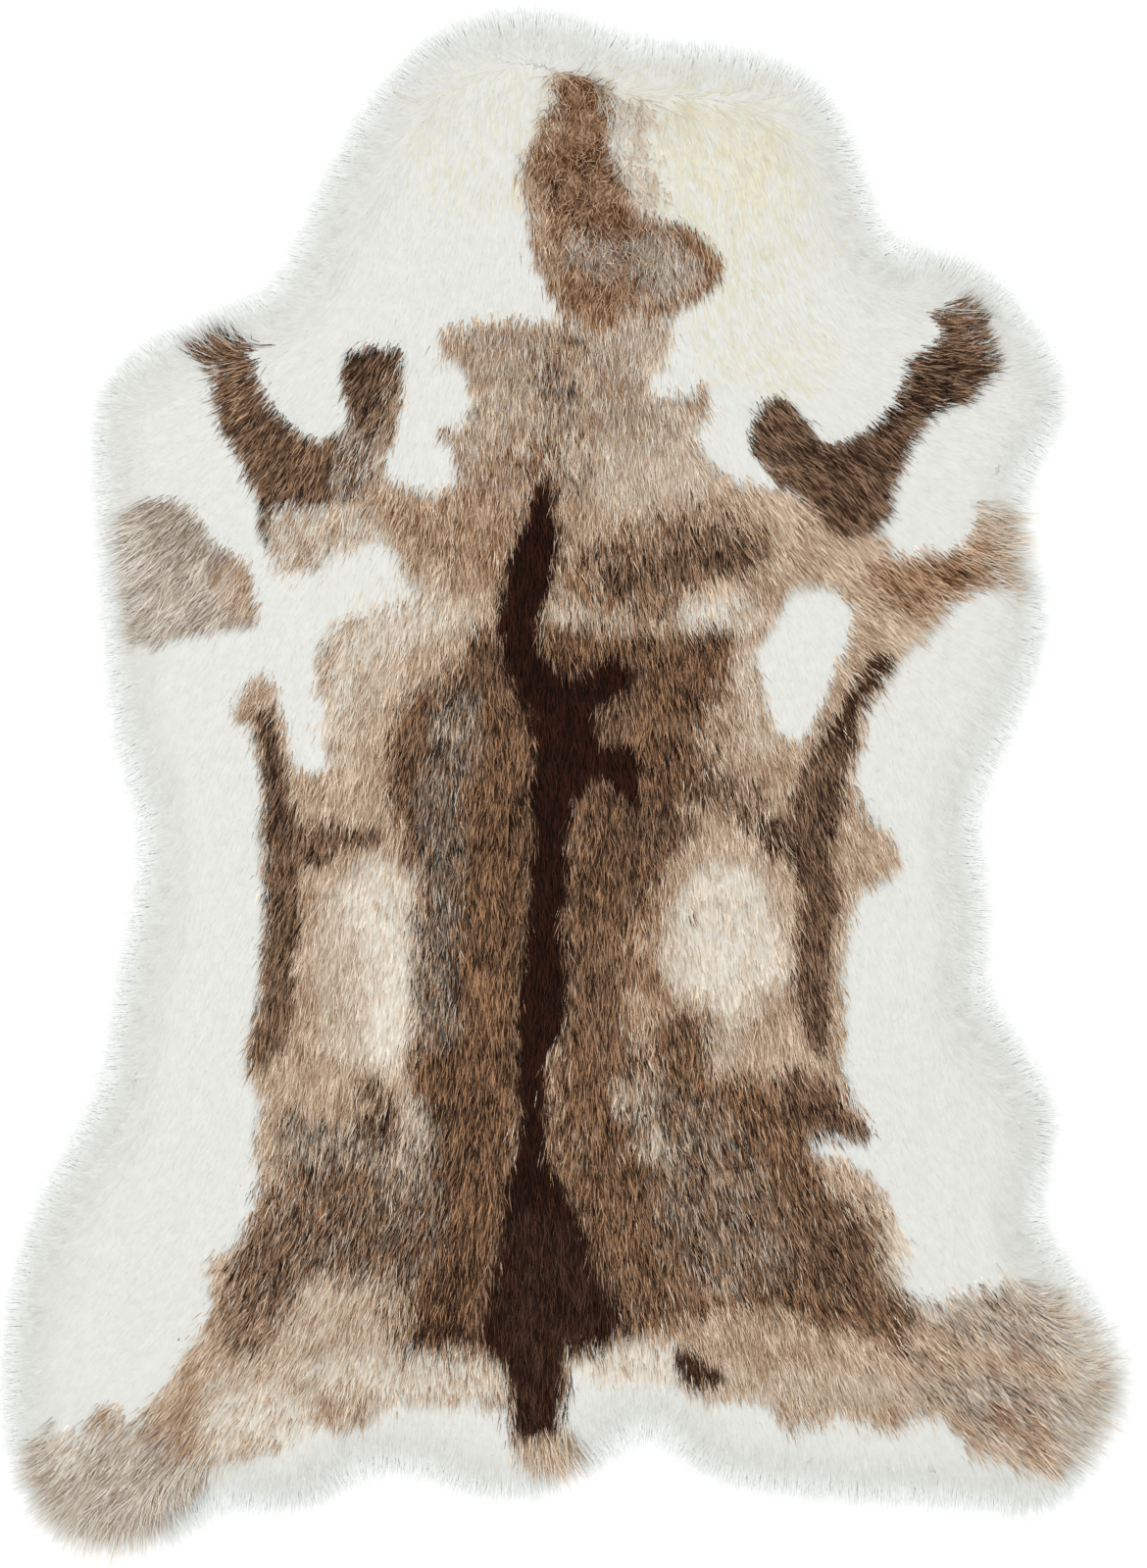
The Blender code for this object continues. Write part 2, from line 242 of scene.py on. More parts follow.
        (-18, 120), (-16, 146), (-4, 150), (10, 134), (40, 128), (46, 116), (10, 118))),
    ("back, right", "brown", 1.0, 12, (
        (-20, 112), (30, 112), (76, 114), (122, 116), (118, 80), (98, 50), (100, 10), (84, -18),
        (82, -48), (66, -70), (52, -100), (42, -150), (44, -200), (0, -200), (-4, -100),
        (0, -20))),
    ("dark patch, right back", "umber", 0.6, 8, (
        (68, 110), (118, 112), (112, 96), (70, 92), (50, 60), (50, 98))),
    ("back, right, shade", "umber", 0.3, 14, (
        (20, 60), (60, 70), (120, 60), (124, 20), (90, -20), (70, -60), (60, -140), (20, -150),
        (10, -60))),
    ("white hole", "white", 1.0, 5, (
        (165, 142), (186, 146), (205, 142), (213, 128), (205, 103), (198, 84), (190, 62),
        (181, 42), (168, 35), (154, 42), (147, 60), (142, 84), (140, 103), (152, 115))),
    ("fade left of the hole", "pale", 0.75, 9, (
        (138, 104), (142, 80), (148, 52), (160, 34), (150, 24), (130, 32), (126, 60),
        (128, 92))),
    ("dark patch under the hole", "umber", 0.75, 9, (
        (94, 14), (120, 10), (146, 0), (144, -18), (120, -24), (98, -12))),
    ("right arm, dark edge", "bark", 0.9, 5, (
        (226, 98), (238, 100), (240, 88), (222, 64), (213, 46), (214, 30), (196, 20), (186, 30),
        (198, 52), (212, 74))),
    ("right flank", "umber", 1.0, 6, (
        (184, 30), (206, 30), (205, 4), (202, -24), (196, -50), (201, -80), (196, -116),
        (195, -160), (190, -196), (178, -192), (169, -170), (167, -140), (172, -100), (166, -64),
        (162, -30), (172, 4))),
    ("flank lobe", "tan", 0.9, 8, (
        (208, 0), (224, -22), (238, -38), (243, -54), (236, -68), (214, -78), (202, -60),
        (200, -20))),
    ("dark spot by the flank", "bark", 0.7, 8, (
        (136, -26), (160, -26), (164, -46), (146, -50))),
    ("dark spot, mid back", "umber", 0.7, 9, (
        (50, -18), (74, -22), (92, -30), (88, -48), (66, -48), (50, -40))),
    ("tan left of the window", "russet", 0.6, 9, (
        (54, -84), (82, -76), (74, -104), (76, -144), (74, -176), (46, -176), (40, -130))),
    ("light window, right", "pale", 0.9, 7, (
        (92, -64), (100, -56), (134, -50), (148, -66), (160, -94), (168, -123), (166, -146),
        (148, -160), (136, -178), (119, -208), (106, -200), (103, -164), (80, -154), (68, -138),
        (70, -100), (82, -78))),
    ("light window, right, heart", "ivory", 0.65, 8, (
        (94, -70), (110, -60), (130, -58), (144, -74), (152, -100), (158, -126), (154, -142),
        (136, -152), (128, -168), (112, -168), (104, -156), (82, -146), (74, -130), (78, -104),
        (86, -84))),
    ("specks in the window", "umber", 0.3, 4, (
        (86, -96), (91, -92), (92, -100), (87, -106))),
    ("light window, left", "pale", 0.95, 8, (
        (-182, -80), (-166, -68), (-150, -58), (-137, -52), (-118, -62), (-113, -94), (-109, -120),
        (-112, -150), (-114, -176), (-119, -200), (-128, -214), (-150, -211), (-174, -200),
        (-186, -178), (-186, -110))),
    ("light window, left, heart", "ivory", 0.65, 10, (
        (-160, -66), (-134, -56), (-120, -70), (-116, -110), (-116, -160), (-124, -200),
        (-146, -200), (-154, -170), (-148, -120), (-164, -90))),
    ("right of the spine, shade", "umber", 0.5, 10, (
        (8, -110), (34, -120), (54, -200), (60, -290), (30, -312), (14, -290), (2, -240),
        (2, -170))),
    ("left flank, dark edge", "bark", 0.45, 5, (
        (-228, 50), (-222, 54), (-214, 30), (-206, -10), (-202, -60), (-210, -100), (-222, -90),
        (-224, -50), (-222, -10), (-226, 20))),
    ("left shoulder patch", "pale", 0.65, 14, (
        (-176, 100), (-150, 126), (-110, 146), (-70, 140), (-64, 110), (-110, 106), (-130, 80),
        (-140, 60), (-160, 20), (-176, 30), (-178, 70))),
    ("left shoulder, fade", "ivory", 0.48, 12, (
        (-176, 124), (-146, 152), (-114, 148), (-92, 132), (-100, 113), (-137, 99), (-158, 74),
        (-172, 42), (-176, 80))),
    ("left back", "brown", 1.0, 12, (
        (-50, 118), (-76, 106), (-86, 80), (-116, 66), (-130, 40), (-124, 10), (-128, -20),
        (-114, -50), (-110, -110), (-112, -170), (-116, -230), (-108, -300), (-112, -420),
        (-60, -420), (-44, -300), (-30, -200), (-24, -80), (-20, 20), (-30, 80))),
    ("left back, dark", "umber", 0.5, 10, (
        (-44, 110), (-84, 100), (-112, 70), (-132, 50), (-124, 6), (-126, -22), (-80, -30),
        (-88, 20), (-78, 60), (-50, 70))),
    ("left back, smoky stripe", "smoke", 0.65, 9, (
        (-98, 66), (-70, 70), (-66, 30), (-80, -20), (-76, -80), (-84, -130), (-82, -180),
        (-104, -200), (-114, -150), (-108, -80), (-112, -20), (-104, 20))),
    ("left flank, strip", "umber", 1.0, 5, (
        (-229, 56), (-222, 58), (-216, 36), (-208, 10), (-203, -16), (-200, -50), (-199, -100),
        (-202, -150), (-208, -190), (-224, -212), (-235, -204), (-232, -180), (-227, -140),
        (-223, -100), (-222, -60), (-226, -30), (-222, -4), (-226, 24))),
    ("left flank, branch", "umber", 0.95, 8, (
        (-206, -22), (-186, -28), (-146, -30), (-140, -44), (-172, -50), (-204, -64))),
    ("left rump", "smoke", 0.7, 14, (
        (-205, -240), (-170, -248), (-130, -250), (-100, -240), (-96, -300), (-100, -360),
        (-150, -362), (-200, -366), (-216, -330), (-214, -280))),
    ("left rump, brown", "brown", 0.55, 16, (
        (-222, -290), (-180, -280), (-120, -290), (-100, -330), (-110, -364), (-160, -362),
        (-230, -370))),
    ("left rump, dark", "umber", 0.65, 8, (
        (-150, -218), (-136, -222), (-124, -246), (-124, -270), (-150, -268))),
    ("left rump, light streak", "pale", 0.7, 7, (
        (-122, -226), (-108, -236), (-98, -262), (-110, -270), (-122, -250))),
    ("left thigh, dark", "umber", 0.8, 9, (
        (-240, -330), (-218, -330), (-204, -362), (-206, -400), (-226, -420), (-248, -424),
        (-256, -400), (-252, -364))),
    ("rump by the tail, left, dark", "bark", 0.45, 10, (
        (-128, -364), (-60, -366), (-58, -420), (-126, -422))),
    ("left hind leg, light", "pale", 0.55, 12, (
        (-200, -368), (-132, -370), (-130, -422), (-44, -426), (-46, -452), (-130, -458),
        (-200, -470), (-270, -490), (-262, -430), (-220, -424))),
    ("left hind leg, pale patch", "ivory", 0.65, 10, (
        (-262, -450), (-230, -446), (-196, -452), (-190, -476), (-210, -490), (-256, -494),
        (-266, -474))),
    ("left hind leg, pale band", "ivory", 0.5, 9, (
        (-192, -424), (-130, -420), (-60, -424), (-36, -436), (-40, -452), (-110, -454),
        (-170, -448), (-192, -440))),
    ("left hind leg, sole", "dun", 0.95, 14, (
        (-404, -500), (-350, -476), (-310, -480), (-278, -500), (-276, -530), (-300, -556),
        (-345, -570), (-388, -544))),
    ("left hind leg, end", "ivory", 0.6, 12, (
        (-404, -500), (-370, -484), (-340, -470), (-330, -484), (-366, -504), (-372, -540),
        (-340, -560), (-310, -552), (-306, -570), (-350, -580), (-396, -550))),
    ("right rump", "brown", 0.9, 12, (
        (50, -200), (80, -168), (104, -176), (106, -214), (150, -214), (200, -224), (216, -258),
        (184, -262), (186, -290), (224, -330), (232, -362), (262, -398), (200, -404), (150, -388),
        (90, -396), (78, -408), (8, -408), (20, -370), (-2, -310), (-14, -270), (-8, -200))),
    ("band beside the tail", "ivory", 0.75, 6, (
        (4, -414), (50, -412), (84, -416), (90, -434), (60, -446), (8, -438))),
    ("right rump, light edge", "pale", 0.7, 6, (
        (228, -326), (244, -318), (252, -350), (250, -372), (238, -376), (234, -350))),
    ("right rump, smoky", "smoke", 0.45, 14, (
        (60, -226), (100, -232), (150, -290), (170, -360), (100, -376), (70, -320), (56, -270))),
    ("right rump, light strokes", "pale", 0.45, 10, (
        (52, -206), (72, -214), (64, -240), (78, -276), (56, -276), (48, -250), (34, -236))),
    ("right thigh, dark", "umber", 0.65, 12, (
        (150, -300), (220, -304), (232, -356), (272, -398), (300, -404), (250, -410), (200, -390),
        (160, -350))),
    ("right spur", "umber", 0.8, 5, (
        (160, -214), (190, -222), (206, -238), (221, -262), (205, -259), (186, -250), (160, -250))),
    ("right hind leg, light", "pale", 0.7, 10, (
        (104, -430), (150, -434), (200, -432), (260, -438), (310, -448), (340, -460), (326, -474),
        (290, -468), (240, -460), (180, -462), (140, -450), (104, -448))),
    ("right hind leg, brown", "brown", 0.5, 10, (
        (226, -392), (256, -398), (280, -408), (302, -424), (286, -432), (256, -424), (226, -412))),
    ("right hind leg, foot", "dun", 0.65, 14, (
        (262, -384), (300, -374), (340, -374), (372, -400), (404, -446), (384, -490), (340, -500),
        (306, -484), (290, -440), (300, -420))),
    ("right hind leg, upper side", "pale", 0.5, 10, (
        (290, -380), (330, -376), (366, -382), (384, -404), (350, -410), (310, -402))),
    ("right hind leg, shade", "smoke", 0.22, 14, (
        (250, -414), (290, -384), (350, -384), (376, -430), (360, -480), (300, -470),
        (260, -446))),
    ("right hind leg, streak", "tan", 0.75, 6, (
        (256, -398), (290, -406), (330, -418), (370, -430), (398, -438), (398, -450),
        (360, -446), (320, -436), (280, -424), (256, -414))),
    ("right hind leg, end", "ivory", 0.6, 12, (
        (368, -380), (392, -392), (416, -440), (412, -486), (388, -504), (368, -480),
        (376, -440))),
    ("right hind leg, heel", "russet", 0.5, 8, (
        (318, -458), (342, -456), (356, -470), (366, -492), (352, -506), (330, -492),
        (312, -476))),
    ("dark spots by the tail", "bark", 0.85, 4, (
        (80, -421), (94, -419), (102, -429), (113, -428), (113, -440), (100, -443), (91, -447),
        (82, -435))),
    ("spine, fringe", "umber", 0.8, 8, SPINE),
    ("spine", "spine", 1.0, 5, SPINE),
    ("spine end", "spine end", 0.8, 14, (
        (-44, -320), (0, -322), (26, -380), (28, -406), (-4, -420), (-14, -470), (-34, -470),
        (-42, -430), (-56, -404), (-46, -360))),
    ("brown island in the spine", "umber", 0.7, 5, (
        (20, 56), (40, 66), (50, 52), (46, 36), (28, 34))),
)

# Which way the coat is combed.
# across in mm, along in mm, heading in degrees from +X towards +Y
COMBING = (
    (-17, 584, 90), (-84, 576, 112), (134, 572, 68), (40, 588, 85), (-17, 505, -90),
    (40, 505, -85), (110, 505, -75), (-80, 500, -100), (-17, 440, -90), (-17, 364, -90),
    (-17, 220, -90), (-17, 74, -90), (-17, -72, -90), (-17, -218, -90), (-20, -364, -90),
    (-24, -473, -90), (15, 438, -90), (-94, 438, -100), (161, 438, -80), (-145, 402, -120),
    (-108, 147, -100), (-108, -72, -98), (-108, -291, -102), (-181, -364, -110),
    (74, 147, -80), (74, -72, -84), (74, -291, -80), (147, -364, -70), (-181, 234, -105),
    (-218, 0, -100), (-218, -218, -100), (-283, 0, -115), (-298, -145, -110),
    (-312, -291, -125), (-276, -422, -130), (-342, -495, -135), (-363, -538, -130),
    (-203, -458, -105), (-94, -473, -92), (52, -451, -85), (198, -466, -75),
    (271, -422, -45), (351, -466, -35), (205, 0, -75), (205, -181, -80), (271, -72, -60),
    (278, -218, -60), (307, -305, -60), (212, 220, -55), (278, 147, -42), (315, 168, -24),
    (300, 336, 10), (278, 292, -10), (322, 365, 30), (227, 263, -45), (198, 365, -60),
    (-261, 329, 160), (-254, 278, -115), (-236, 234, -110), (-327, 278, 180),
    (-312, 256, -160), (-290, 161, -130), (-203, 132, -115),
)
COMB_REACH = 52 * MM
# Where the hair is curly and stands up.
# across in mm, along in mm, reach in mm, how curly from 0 to 1
CURLS = ((4, 470, 40, 0.55), (30, 390, 45, 0.55), (90, 470, 50, 0.5))

# The lattices on which height, edge distance, combing and markings are worked out.
LATTICE = 6 * MM
MARKING_LATTICE = 3 * MM
LATTICE_MARGIN = 60 * MM
STEPS_OF_CURVE = 4
NOISE_CELLS = 64
LAST_CELL = 1.001
TINY = 1e-9
TINY_SQUARE = 1e-12

# The pile's height: rays from above find the solid's top, and beside it the usual height holds.
RAY_HEIGHT = 0.1
SLAB_TOP_LEAST = 20 * MM
PILE_USUAL = 26 * MM
# distance inside the skin's edge in mm, share of the pile's height
RIM_HEIGHTS = ((-28, 0.05), (-14, 0.3), (-4, 0.6), (4, 0.85), (14, 1.0))

# Markings: how far round one its edge is worked out, which are widened, how edges wander.
MARKING_REACH = 30 * MM
MARKINGS_GROWN = {"spine, fringe": 7 * MM, "spine": 1.5 * MM}
# distance in mm, amount in mm, seed
MARKING_WOBBLE = ((26, 3.0, 21), (9, 1.8, 23))

# Where hairs stand: an even scatter without gaps, each root moved a little. The bands are
# the distances inside the skin's edge between which coat and rim hair is rooted.
SCATTER_STEP = (0.7548776662466927, 0.5698402909980532)
SCATTER_START = 0.137
ROOT_JITTER = 0.5 * MM
ROOT_SINK = 1 * MM
COAT_LAYERS = 4
COAT_SEED = 101
RIM_SEED = 201
COAT_BAND = (0, 1)
RIM_BAND = (0, 26 * MM)

# Parts of a hair from root to tip: shares of its length, and leans from upright in degrees,
# for rough and for sleek hair. droop is the most extra lean and wider the extra width of
# sleek hair, both as shares. colour_at is the share of its reach where its tone is read,
# and dark_shorter how much shorter the darkest hair is.
COAT_HAIR = {
    "shares": (0.45, 0.55), "leans": (46.0, 68.0), "sleek_leans": (85.0, 89.0),
    "droop": 0.1, "wider": 2.6, "length_spread": 0.16, "tip_width": 0.8,
    "colour_at": 0.5, "dark_shorter": 0.0,
}
RIM_HAIR = {
    "shares": (0.3, 0.35, 0.35), "leans": (52.0, 78.0, 92.0), "sleek_leans": (74.0, 86.0, 92.0),
    "droop": 0.3, "wider": 0.5, "length_spread": 0.3, "tip_width": 0.6,
    "colour_at": 1.0, "dark_shorter": 0.4,
}
LENGTH_LIMITS = (0.5, 1.4)
REACH_SHARE = 0.75
LEAN_SPREAD = 7.0
ROLL_SPREAD = 18.0
FLOOR_CLEARANCE = 0.7 * MM
TIP_ROOM = 7 * MM

# Heading: combed, turned outward near the rim, with waves, and wilder where hair stands up.
# Angles are in degrees.
HEADING_SPREAD = 10.0
WAVE_DISTANCE = 16 * MM
WAVE_ANGLE = 9.0
WAVE_SEED = 51
RIM_TURN = (2 * MM, 28 * MM)
RIM_TURN_MOST = 0.85
LIE_GAIN = 1.6
LIE_LEAST = 0.45
CURL_GAIN = 2.5

# Tufts: hairs lean to the middle of their tuft, and some take their tone together.
TUFT_SPACING = 11 * MM
TUFT_SEED = 41
TUFT_CELLS = 128
TUFT_FOLLOWS = 0.25
TUFT_STRIDE = 0.618

# Light and dark: along a hair, partly its own bands and partly painted shade at the root and painted
# highlight at the tip; over the coat in patches; painted shade on the undercoat under dark tones; and
# painted light where pale hair is over the rim.
# Along a hair the root is darker, partly its own dark base and partly painted shade deep in the pile.
# The tip is lighter, partly its own light band and partly painted highlight. Pale hair keeps its root
# colour.
TIP_LIGHT_AND_HIGHLIGHT = 1.2
ROOT_DARK_AND_SHADE = 0.6
WHITE_ROOT = 1.0
PALE_FROM = (0.15, 0.7)
PAINTED_SHADE_FROM = (0.1, 0.6)
# distance in mm, share, seed
MOTTLES = ((16, 0.4, 31), (42, 0.4, 37))
# Painted light: pale hair near and over the rim is made lighter and a little bluer, against the shade
# there.
FRINGE_FROM = (-4 * MM, -30 * MM)
FRINGE_PAINTED_LIGHT = (0.42, 0.45, 0.52)

# Sleek hair: white hair lies flat and even on the undercoat. SLEEK_FROM, SLEEK_OVER and
# SLEEK_TINTS are where fades start and end. SLEEK_UPRIGHT is how far the shading of rough
# and of sleek hair turns upward.
SLEEK_FROM = (0.6, 0.85)
SLEEK_OVER = (0.3, 0.95)
SLEEK_TINTS = (0.3, 0.6)
SLEEK_TUFTS = 0.7
SLEEK_WAVES = 0.5
SLEEK_EVEN = 0.9
SLEEK_RISE = 0.6 * MM
SLEEK_STEP = 0.3 * MM
SLEEK_UPRIGHT = (0.45, 0.95)

# The skin's outline is read from the faces that look down and touch the floor.
KEY_PLACES = 6
LOOKS_DOWN = -0.99
TOUCHES_FLOOR = 1e-5
FILL_INSIDE = 1
FILL_MERGE = 1e-7

# The undercoat and the skin.
UNDERCOAT_SEED = 301
# Painted shade: the undercoat's colour is scaled by 0.6 where its tone is dark, up to 1.0 where pale,
# for the shade deep in the pile.
UNDERCOAT_PAINTED_SHADE = (0.6, 1.0)
UNDERCOAT_INSET = 1.5 * MM
UNDERCOAT_LEAST = 1 * MM
UNDERCOAT_STRETCH = (900.0, 160.0, 300.0)
SKIN_GAP = 0.3 * MM
SUEDE_SHADES = (0.88, 1.06)
SUEDE_BLOTCHES = 14.0
SUEDE_NAP = 700.0
SUEDE_ROUGHNESS = 0.9
HAIR_SHINE = 0.1
HAIR_FINISH = {"roughness": 0.75, "grain": 0.05, "grain_scale": 120.0}
UNDERCOAT_FINISH = {"roughness": 0.95, "grain": 0.2, "grain_scale": 500.0, "bump": 0.8}

# The stage: the camera looks straight down on a frame of this length and centre.
FLOOR_LEVEL = -0.5 * MM
FLOOR_COLOUR = (0.95, 0.95, 0.95)
LAMP_SIZE = 1.5
LAMP_PLACE = (-0.38, 0.1, 3.4)
SENSOR = 36.0
CAMERA_REACH = 20.0
VIEW_LENGTH = 1165.7 * MM
VIEW_CENTRE = (4.7 * MM, 1.2 * MM)
VIEW_LEVEL = 20 * MM

# Names of the colour layer and the texture map. Each hair has a cell of the map.
COLOUR_LAYER = "hair_colour"
BAKE_LAYER = "OFBake"
CELL_INSET = 0.12


def screen_to_light(colour):
    """Linear values of a colour given as it looks on a screen, from 0 to 1."""
    colour = np.asarray(colour, float)
    return np.where(colour <= 0.04045, colour / 12.92, ((colour + 0.055) / 1.055) ** 2.4)


def tone_key(tone, end):
    """Name of the setting that holds one end of a tone."""
    return tone.replace(" ", "_") + "_" + end


class RugSizes(bpy.types.PropertyGroup):
    """Sizes of the skin and of its hair."""

    skin_thickness: FloatProperty(
        name="Skin thickness", description="Thickness of the skin under the hair",
        default=2 * MM, min=1 * MM, max=4 * MM, unit="LENGTH")
    undercoat_depth: FloatProperty(
        name="Undercoat depth", description="How far the undercoat's top lies below the coat's",
        default=6 * MM, min=2 * MM, max=15 * MM, unit="LENGTH")
    sleek_depth: FloatProperty(
        name="Sleek coat depth", description="The same where the hair is white and lies flat",
        default=2.5 * MM, min=1 * MM, max=10 * MM, unit="LENGTH")
    undercoat_step: FloatProperty(
        name="Undercoat step", description="Distance between the points of the undercoat's top",
        default=9 * MM, min=6 * MM, max=30 * MM, unit="LENGTH")
    coat_length: FloatProperty(
        name="Coat hair length", description="Length of a hair in the coat",
        default=15 * MM, min=10 * MM, max=40 * MM, unit="LENGTH")
    rim_length: FloatProperty(
        name="Rim hair length", description="Length of a hair at the rim",
        default=36 * MM, min=15 * MM, max=50 * MM, unit="LENGTH")
    hair_width: FloatProperty(
        name="Hair width", description="Width of a hair at its root",
        default=0.7 * MM, min=0.2 * MM, max=3 * MM, unit="LENGTH")
    rim_width: FloatProperty(
        name="Rim hair width", description="Width of a rim hair at its root",
        default=0.55 * MM, min=0.2 * MM, max=3 * MM, unit="LENGTH")
    coat_hairs: IntProperty(
        name="Hairs in a coat layer", description="How many hairs each layer of the coat has",
        default=62000, min=1000, max=66000)
    rim_hairs: IntProperty(
        name="Rim hairs", description="How many longer hairs hang over the rim",
        default=38500, min=1000, max=39000)
    clumping: FloatProperty(
        name="Clumping", description="How far hairs lean together into tufts",
        default=0.25, min=0.0, max=1.0, subtype="FACTOR")


def add_tone_settings(group):
    """Give the settings a colour for each end of each tone."""
    for tone, dark, light, _, _ in TONES:
        for end, colour in (("dark", dark), ("light", light)):
            group.__annotations__[tone_key(tone, end)] = FloatVectorProperty(
                name=f"{tone.capitalize()}, {end}est",
                description=f"Colour of the {end}est hair in the {tone} tone",
                default=tuple(value / 255 for value in colour),
                min=0.0, max=1.0, size=3, subtype="COLOR_GAMMA")
    return group


@add_tone_settings
class RugColours(bpy.types.PropertyGroup):
    """Colours of the hair and of the skin."""

    skin: FloatVectorProperty(
        name="Skin", description="Colour of the skin's suede underside",
        default=(0.80, 0.76, 0.69), min=0.0, max=1.0, size=3, subtype="COLOR_GAMMA")


class StageSettings(bpy.types.PropertyGroup):
    """Floor, light and camera around the rug."""

    floor_size: FloatProperty(
        name="Floor size", description="Length of each side of the floor",
        default=8.0, min=2.0, max=30.0, unit="LENGTH")
    sky_strength: FloatProperty(
        name="Sky strength", description="Brightness of the even white light around the rug",
        default=0.68, min=0.0, max=5.0)
    lamp_power: FloatProperty(
        name="Lamp power", description="Power of the large soft lamp above the rug",
        default=77.5, min=0.0, max=2000.0, unit="POWER")
    lens: FloatProperty(
        name="Lens", description="Focal length of the camera",
        default=85.0, min=20.0, max=300.0, unit="CAMERA")


def lattice_noise(places, distance, seed):
    """Smooth random values from -1 to 1 that change over the given distance."""
    chance = np.random.default_rng(seed)
    table = chance.uniform(-1, 1, (NOISE_CELLS, NOISE_CELLS))
    scaled = places / distance
    cell = np.floor(scaled).astype(int)
    part = scaled - cell
    part = part * part * (3 - 2 * part)
    x0, y0 = cell[..., 0] % NOISE_CELLS, cell[..., 1] % NOISE_CELLS
    x1, y1 = (x0 + 1) % NOISE_CELLS, (y0 + 1) % NOISE_CELLS
    low = table[x0, y0] * (1 - part[..., 0]) + table[x1, y0] * part[..., 0]
    high = table[x0, y1] * (1 - part[..., 0]) + table[x1, y1] * part[..., 0]
    return low * (1 - part[..., 1]) + high * part[..., 1]


def smooth_loop(points, steps=STEPS_OF_CURVE):
    """Closed smooth curve through points, with a number of steps from each to the next."""
    here = np.asarray(points, float)
    before, after = np.roll(here, 1, axis=0), np.roll(here, -1, axis=0)
    beyond = np.roll(here, -2, axis=0)
    pieces = []
    for part in np.arange(steps) / steps:
        square, cube = part * part, part ** 3
        pieces.append(0.5 * (
            2 * here + (after - before) * part
            + (2 * before - 5 * here + 4 * after - beyond) * square
            + (3 * here - before - 3 * after + beyond) * cube))
    return np.stack(pieces, axis=1).reshape(-1, 2)


def signed_distance(places, loop):
    """Distance of each place inside a closed loop, negative outside it."""
    nearest = np.full(len(places), np.inf)
    inside = np.zeros(len(places), bool)
    for start, end in zip(loop, np.roll(loop, -1, axis=0)):
        edge = end - start
        offset = places - start
        share = np.clip(offset @ edge / max(edge @ edge, TINY_SQUARE), 0, 1)
        gap = offset - share[:, None] * edge
        nearest = np.minimum(nearest, np.einsum("ij,ij->i", gap, gap))
        crosses = (start[1] > places[:, 1]) != (end[1] > places[:, 1])
        if edge[1]:
            inside ^= crosses & (offset[:, 0] < offset[:, 1] * edge[0] / edge[1])
    return np.where(inside, 1, -1) * np.sqrt(nearest)


class Lattice:
    """Values on an even square lattice over the rug, read smoothly between its points."""

    def __init__(self, low, high, step):
        self.low = np.asarray(low, float)
        self.step = step
        self.count = np.ceil((np.asarray(high, float) - self.low) / step).astype(int) + 1
        across, along = np.meshgrid(np.arange(self.count[0]), np.arange(self.count[1]),
                                    indexing="ij")
        self.places = np.stack([across, along], axis=-1).reshape(-1, 2) * step + self.low

    def read(self, values, places):
        """Values at any places, from the four lattice points round each."""
        grid = values.reshape(self.count[0], self.count[1], -1)
        scaled = np.clip((places - self.low) / self.step, 0, self.count - LAST_CELL)
        cell = scaled.astype(int)
        part = scaled - cell
        x, y = cell[:, 0], cell[:, 1]
        u, v = part[:, :1], part[:, 1:]
        result = ((grid[x, y] * (1 - u) + grid[x + 1, y] * u) * (1 - v)
                  + (grid[x, y + 1] * (1 - u) + grid[x + 1, y + 1] * u) * v)
        return result[:, 0] if result.shape[1] == 1 else result


def skin_outline(pelt):
    """Edge of the flat underside as one closed loop, anticlockwise seen from above."""
    keys = [tuple(round(value, KEY_PLACES) for value in vertex.co)
            for vertex in pelt.data.vertices]
    edges = set()
    for face in pelt.data.polygons:
        corners = [keys[index] for index in face.vertices]
        if face.normal.z < LOOKS_DOWN and max(corner[2] for corner in corners) < TOUCHES_FLOOR:
            edges.update(zip(corners, corners[1:] + corners[:1]))
    following = {start: end for start, end in edges if (end, start) not in edges}
    loop = [min(following)]
    while following[loop[-1]] != loop[0]:
        loop.append(following[loop[-1]])
    return np.array(loop)[::-1, :2]


def fade(low, high, values):
    """Smooth step from 0 at low to 1 at high."""
    part = np.clip((values - low) / (high - low), 0, 1)
    return part * part * (3 - 2 * part)


def unit(vectors):
    """Vectors brought to length 1."""
    return vectors / np.maximum(np.linalg.norm(vectors, axis=-1, keepdims=True), TINY)


